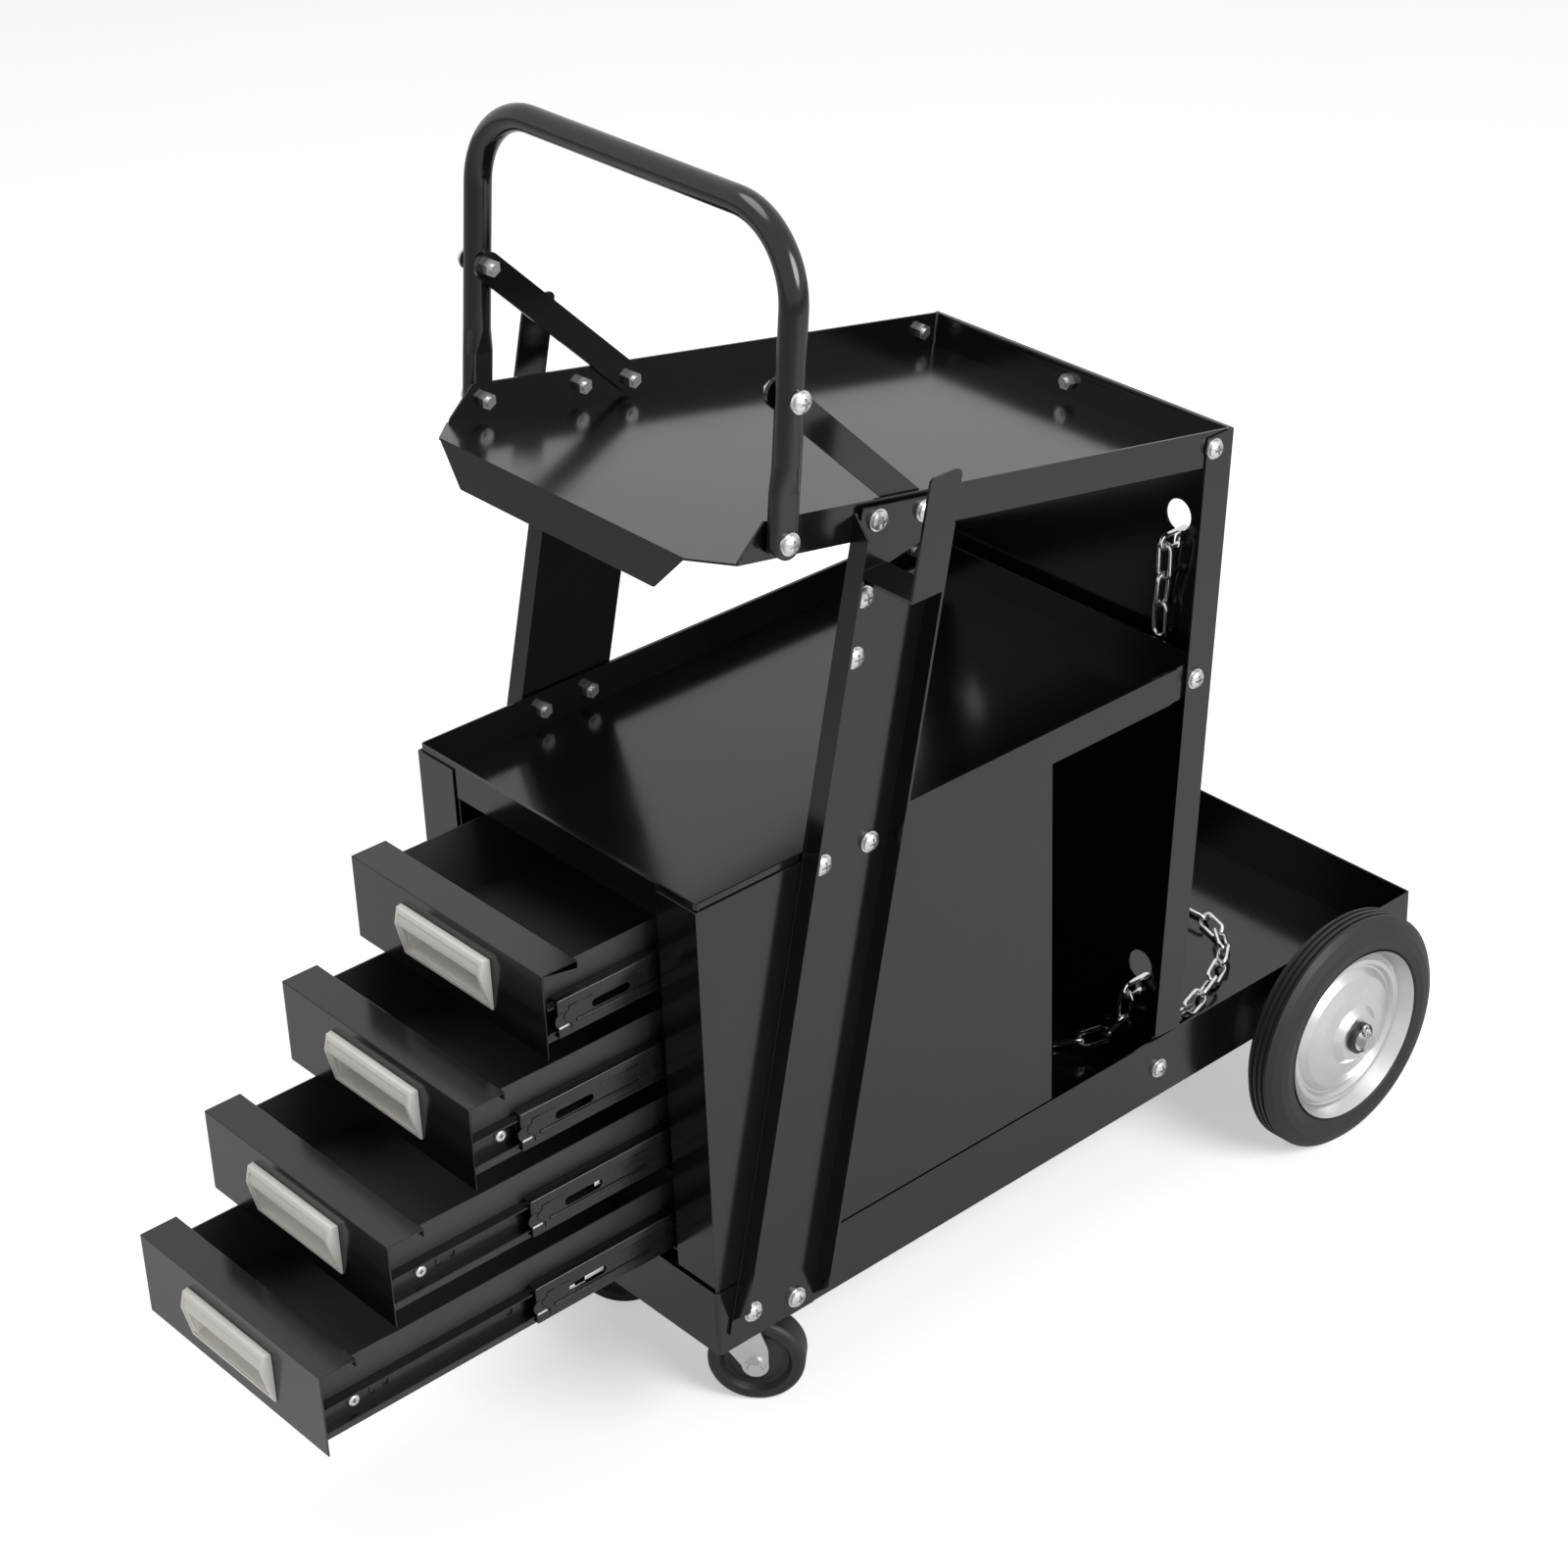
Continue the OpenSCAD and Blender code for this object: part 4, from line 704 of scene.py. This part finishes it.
class CART_OT_stage(bpy.types.Operator):
    """Adds the pale floor, the soft light and the camera"""
    bl_idname = "cart.stage"
    bl_label = "Stage"

    def execute(self, context):
        studio = context.scene.cart_studio
        # A pale matt floor, lifted a little for the camera alone so that it ends white
        bpy.ops.mesh.primitive_plane_add(size=studio.floor, location=(0, 0, 0))
        floor = context.object
        floor.name = "studio_floor"
        made, tree = new_material("studio_floor")
        rays = add(tree, "ShaderNodeLightPath")
        lift = add(tree, "ShaderNodeMapRange", {"To Min": 0.0, "To Max": 0.45},
                   {"Value": rays.outputs["Is Camera Ray"]})
        grain = add(tree, "ShaderNodeTexNoise", {"Scale": per_mm(300)},
                    {"Vector": add(tree, "ShaderNodeTexCoord").outputs["Object"]})
        tone = add(tree, "ShaderNodeMix", {"data_type": "RGBA"}, {"Factor": grain.outputs["Fac"]})
        tone.inputs["A"].default_value = colour("#f1f1f1")
        tone.inputs["B"].default_value = colour("#f4f4f4")
        shader = add(tree, "ShaderNodeBsdfPrincipled",
                     {"Roughness": 0.9, "Specular IOR Level": 0.1, "Emission Color": (1, 1, 1, 1)},
                     {"Base Color": tone.outputs["Result"], "Emission Strength": lift.outputs[0]})
        output(tree, shader)
        floor.data.materials.append(made)

        # White surroundings for the camera and for reflections, dimmer on matt surfaces
        world = bpy.data.worlds.new("studio_world")
        context.scene.world = world
        world.use_nodes = True
        tree = world.node_tree
        tree.nodes.clear()
        rays = add(tree, "ShaderNodeLightPath")
        seen = add(tree, "ShaderNodeMath", {"operation": "MAXIMUM"})
        tree.links.new(rays.outputs["Is Camera Ray"], seen.inputs[0])
        tree.links.new(rays.outputs["Is Glossy Ray"], seen.inputs[1])
        level = add(tree, "ShaderNodeMapRange", {"To Min": studio.daylight, "To Max": 1.0},
                    {"Value": seen.outputs[0]})
        sky = add(tree, "ShaderNodeBackground", {"Color": (1, 1, 1, 1)},
                  {"Strength": level.outputs["Result"]})
        add(tree, "ShaderNodeOutputWorld", links={"Surface": sky.outputs[0]})

        for name, place, size, power in (
                ("key_lamp", (2.4, 0.2, 1.9), 1.5, studio.key),
                ("top_lamp", (-0.5, -0.6, 3.0), 1.6, studio.key * 0.5)):
            bpy.ops.object.light_add(type="AREA", location=place)
            lamp = context.object
            lamp.name = name
            lamp.data.shape = "DISK"
            lamp.data.size = size
            lamp.data.energy = power
            aim = Vector((0, 0, 0.4)) - Vector(place)
            lamp.rotation_euler = aim.to_track_quat("-Z", "Y").to_euler()

        azimuth, height, roll = (math.radians(a) for a in CAMERA_TURN)
        back = Vector((math.sin(azimuth) * math.cos(height), -math.cos(azimuth) * math.cos(height),
                       math.sin(height)))
        right = Vector((math.cos(azimuth), math.sin(azimuth), 0))
        up = back.cross(right)
        across = math.cos(roll) * right - math.sin(roll) * up
        upward = math.sin(roll) * right + math.cos(roll) * up
        turn = Matrix((across, upward, back)).transposed().to_4x4()
        bpy.ops.object.camera_add()
        camera = context.object
        camera.name = "photo_camera"
        camera.matrix_world = Matrix.Translation(CAMERA_PLACE) @ turn
        camera.data.sensor_width = 36.0
        camera.data.lens = CAMERA_LENS
        camera.data.shift_x = -0.1
        camera.data.shift_y = -0.05
        camera.data.clip_start = 0.05
        camera.data.clip_end = 50
        context.scene.camera = camera
        context.scene.view_settings.view_transform = "Standard"
        return {"FINISHED"}


class CART_PT_panel(bpy.types.Panel):
    """Lists the cart's operators"""
    bl_label = "Welding cart"
    bl_idname = "CART_PT_panel"
    bl_space_type = "VIEW_3D"
    bl_region_type = "UI"
    bl_category = "Welding cart"

    def draw(self, context):
        scene = context.scene
        for settings in (scene.cart_finishes, scene.cart_sizes, scene.cart_studio):
            for name in settings.__annotations__:
                self.layout.prop(settings, name)
        for operator in OPERATORS:
            self.layout.operator(operator.bl_idname)


SETTINGS = (CartFinishes, CartSizes, CartStudio)
OPERATORS = (
    CART_OT_sheet_metal,
    CART_OT_hardware,
    CART_OT_wheels,
    CART_OT_drawer_boxes,
    CART_OT_pulls,
    CART_OT_slides,
    CART_OT_stage,
)


def register():
    """Registers the settings, operators and panel"""
    for made in (*SETTINGS, *OPERATORS, CART_PT_panel):
        bpy.utils.register_class(made)
    bpy.types.Scene.cart_finishes = bpy.props.PointerProperty(type=CartFinishes)
    bpy.types.Scene.cart_sizes = bpy.props.PointerProperty(type=CartSizes)
    bpy.types.Scene.cart_studio = bpy.props.PointerProperty(type=CartStudio)


def unregister():
    """Takes all of them away again"""
    del bpy.types.Scene.cart_finishes
    del bpy.types.Scene.cart_sizes
    del bpy.types.Scene.cart_studio
    for made in reversed((*SETTINGS, *OPERATORS, CART_PT_panel)):
        bpy.utils.unregister_class(made)


def main():
    """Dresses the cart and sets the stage"""
    register()
    bpy.ops.object.select_all(action="DESELECT")
    for operator in (
            bpy.ops.cart.sheet_metal,
            bpy.ops.cart.hardware,
            bpy.ops.cart.wheels,
            bpy.ops.cart.drawer_boxes,
            bpy.ops.cart.pulls,
            bpy.ops.cart.slides,
            bpy.ops.cart.stage):
        operator()


if __name__ == "__main__":
    main()
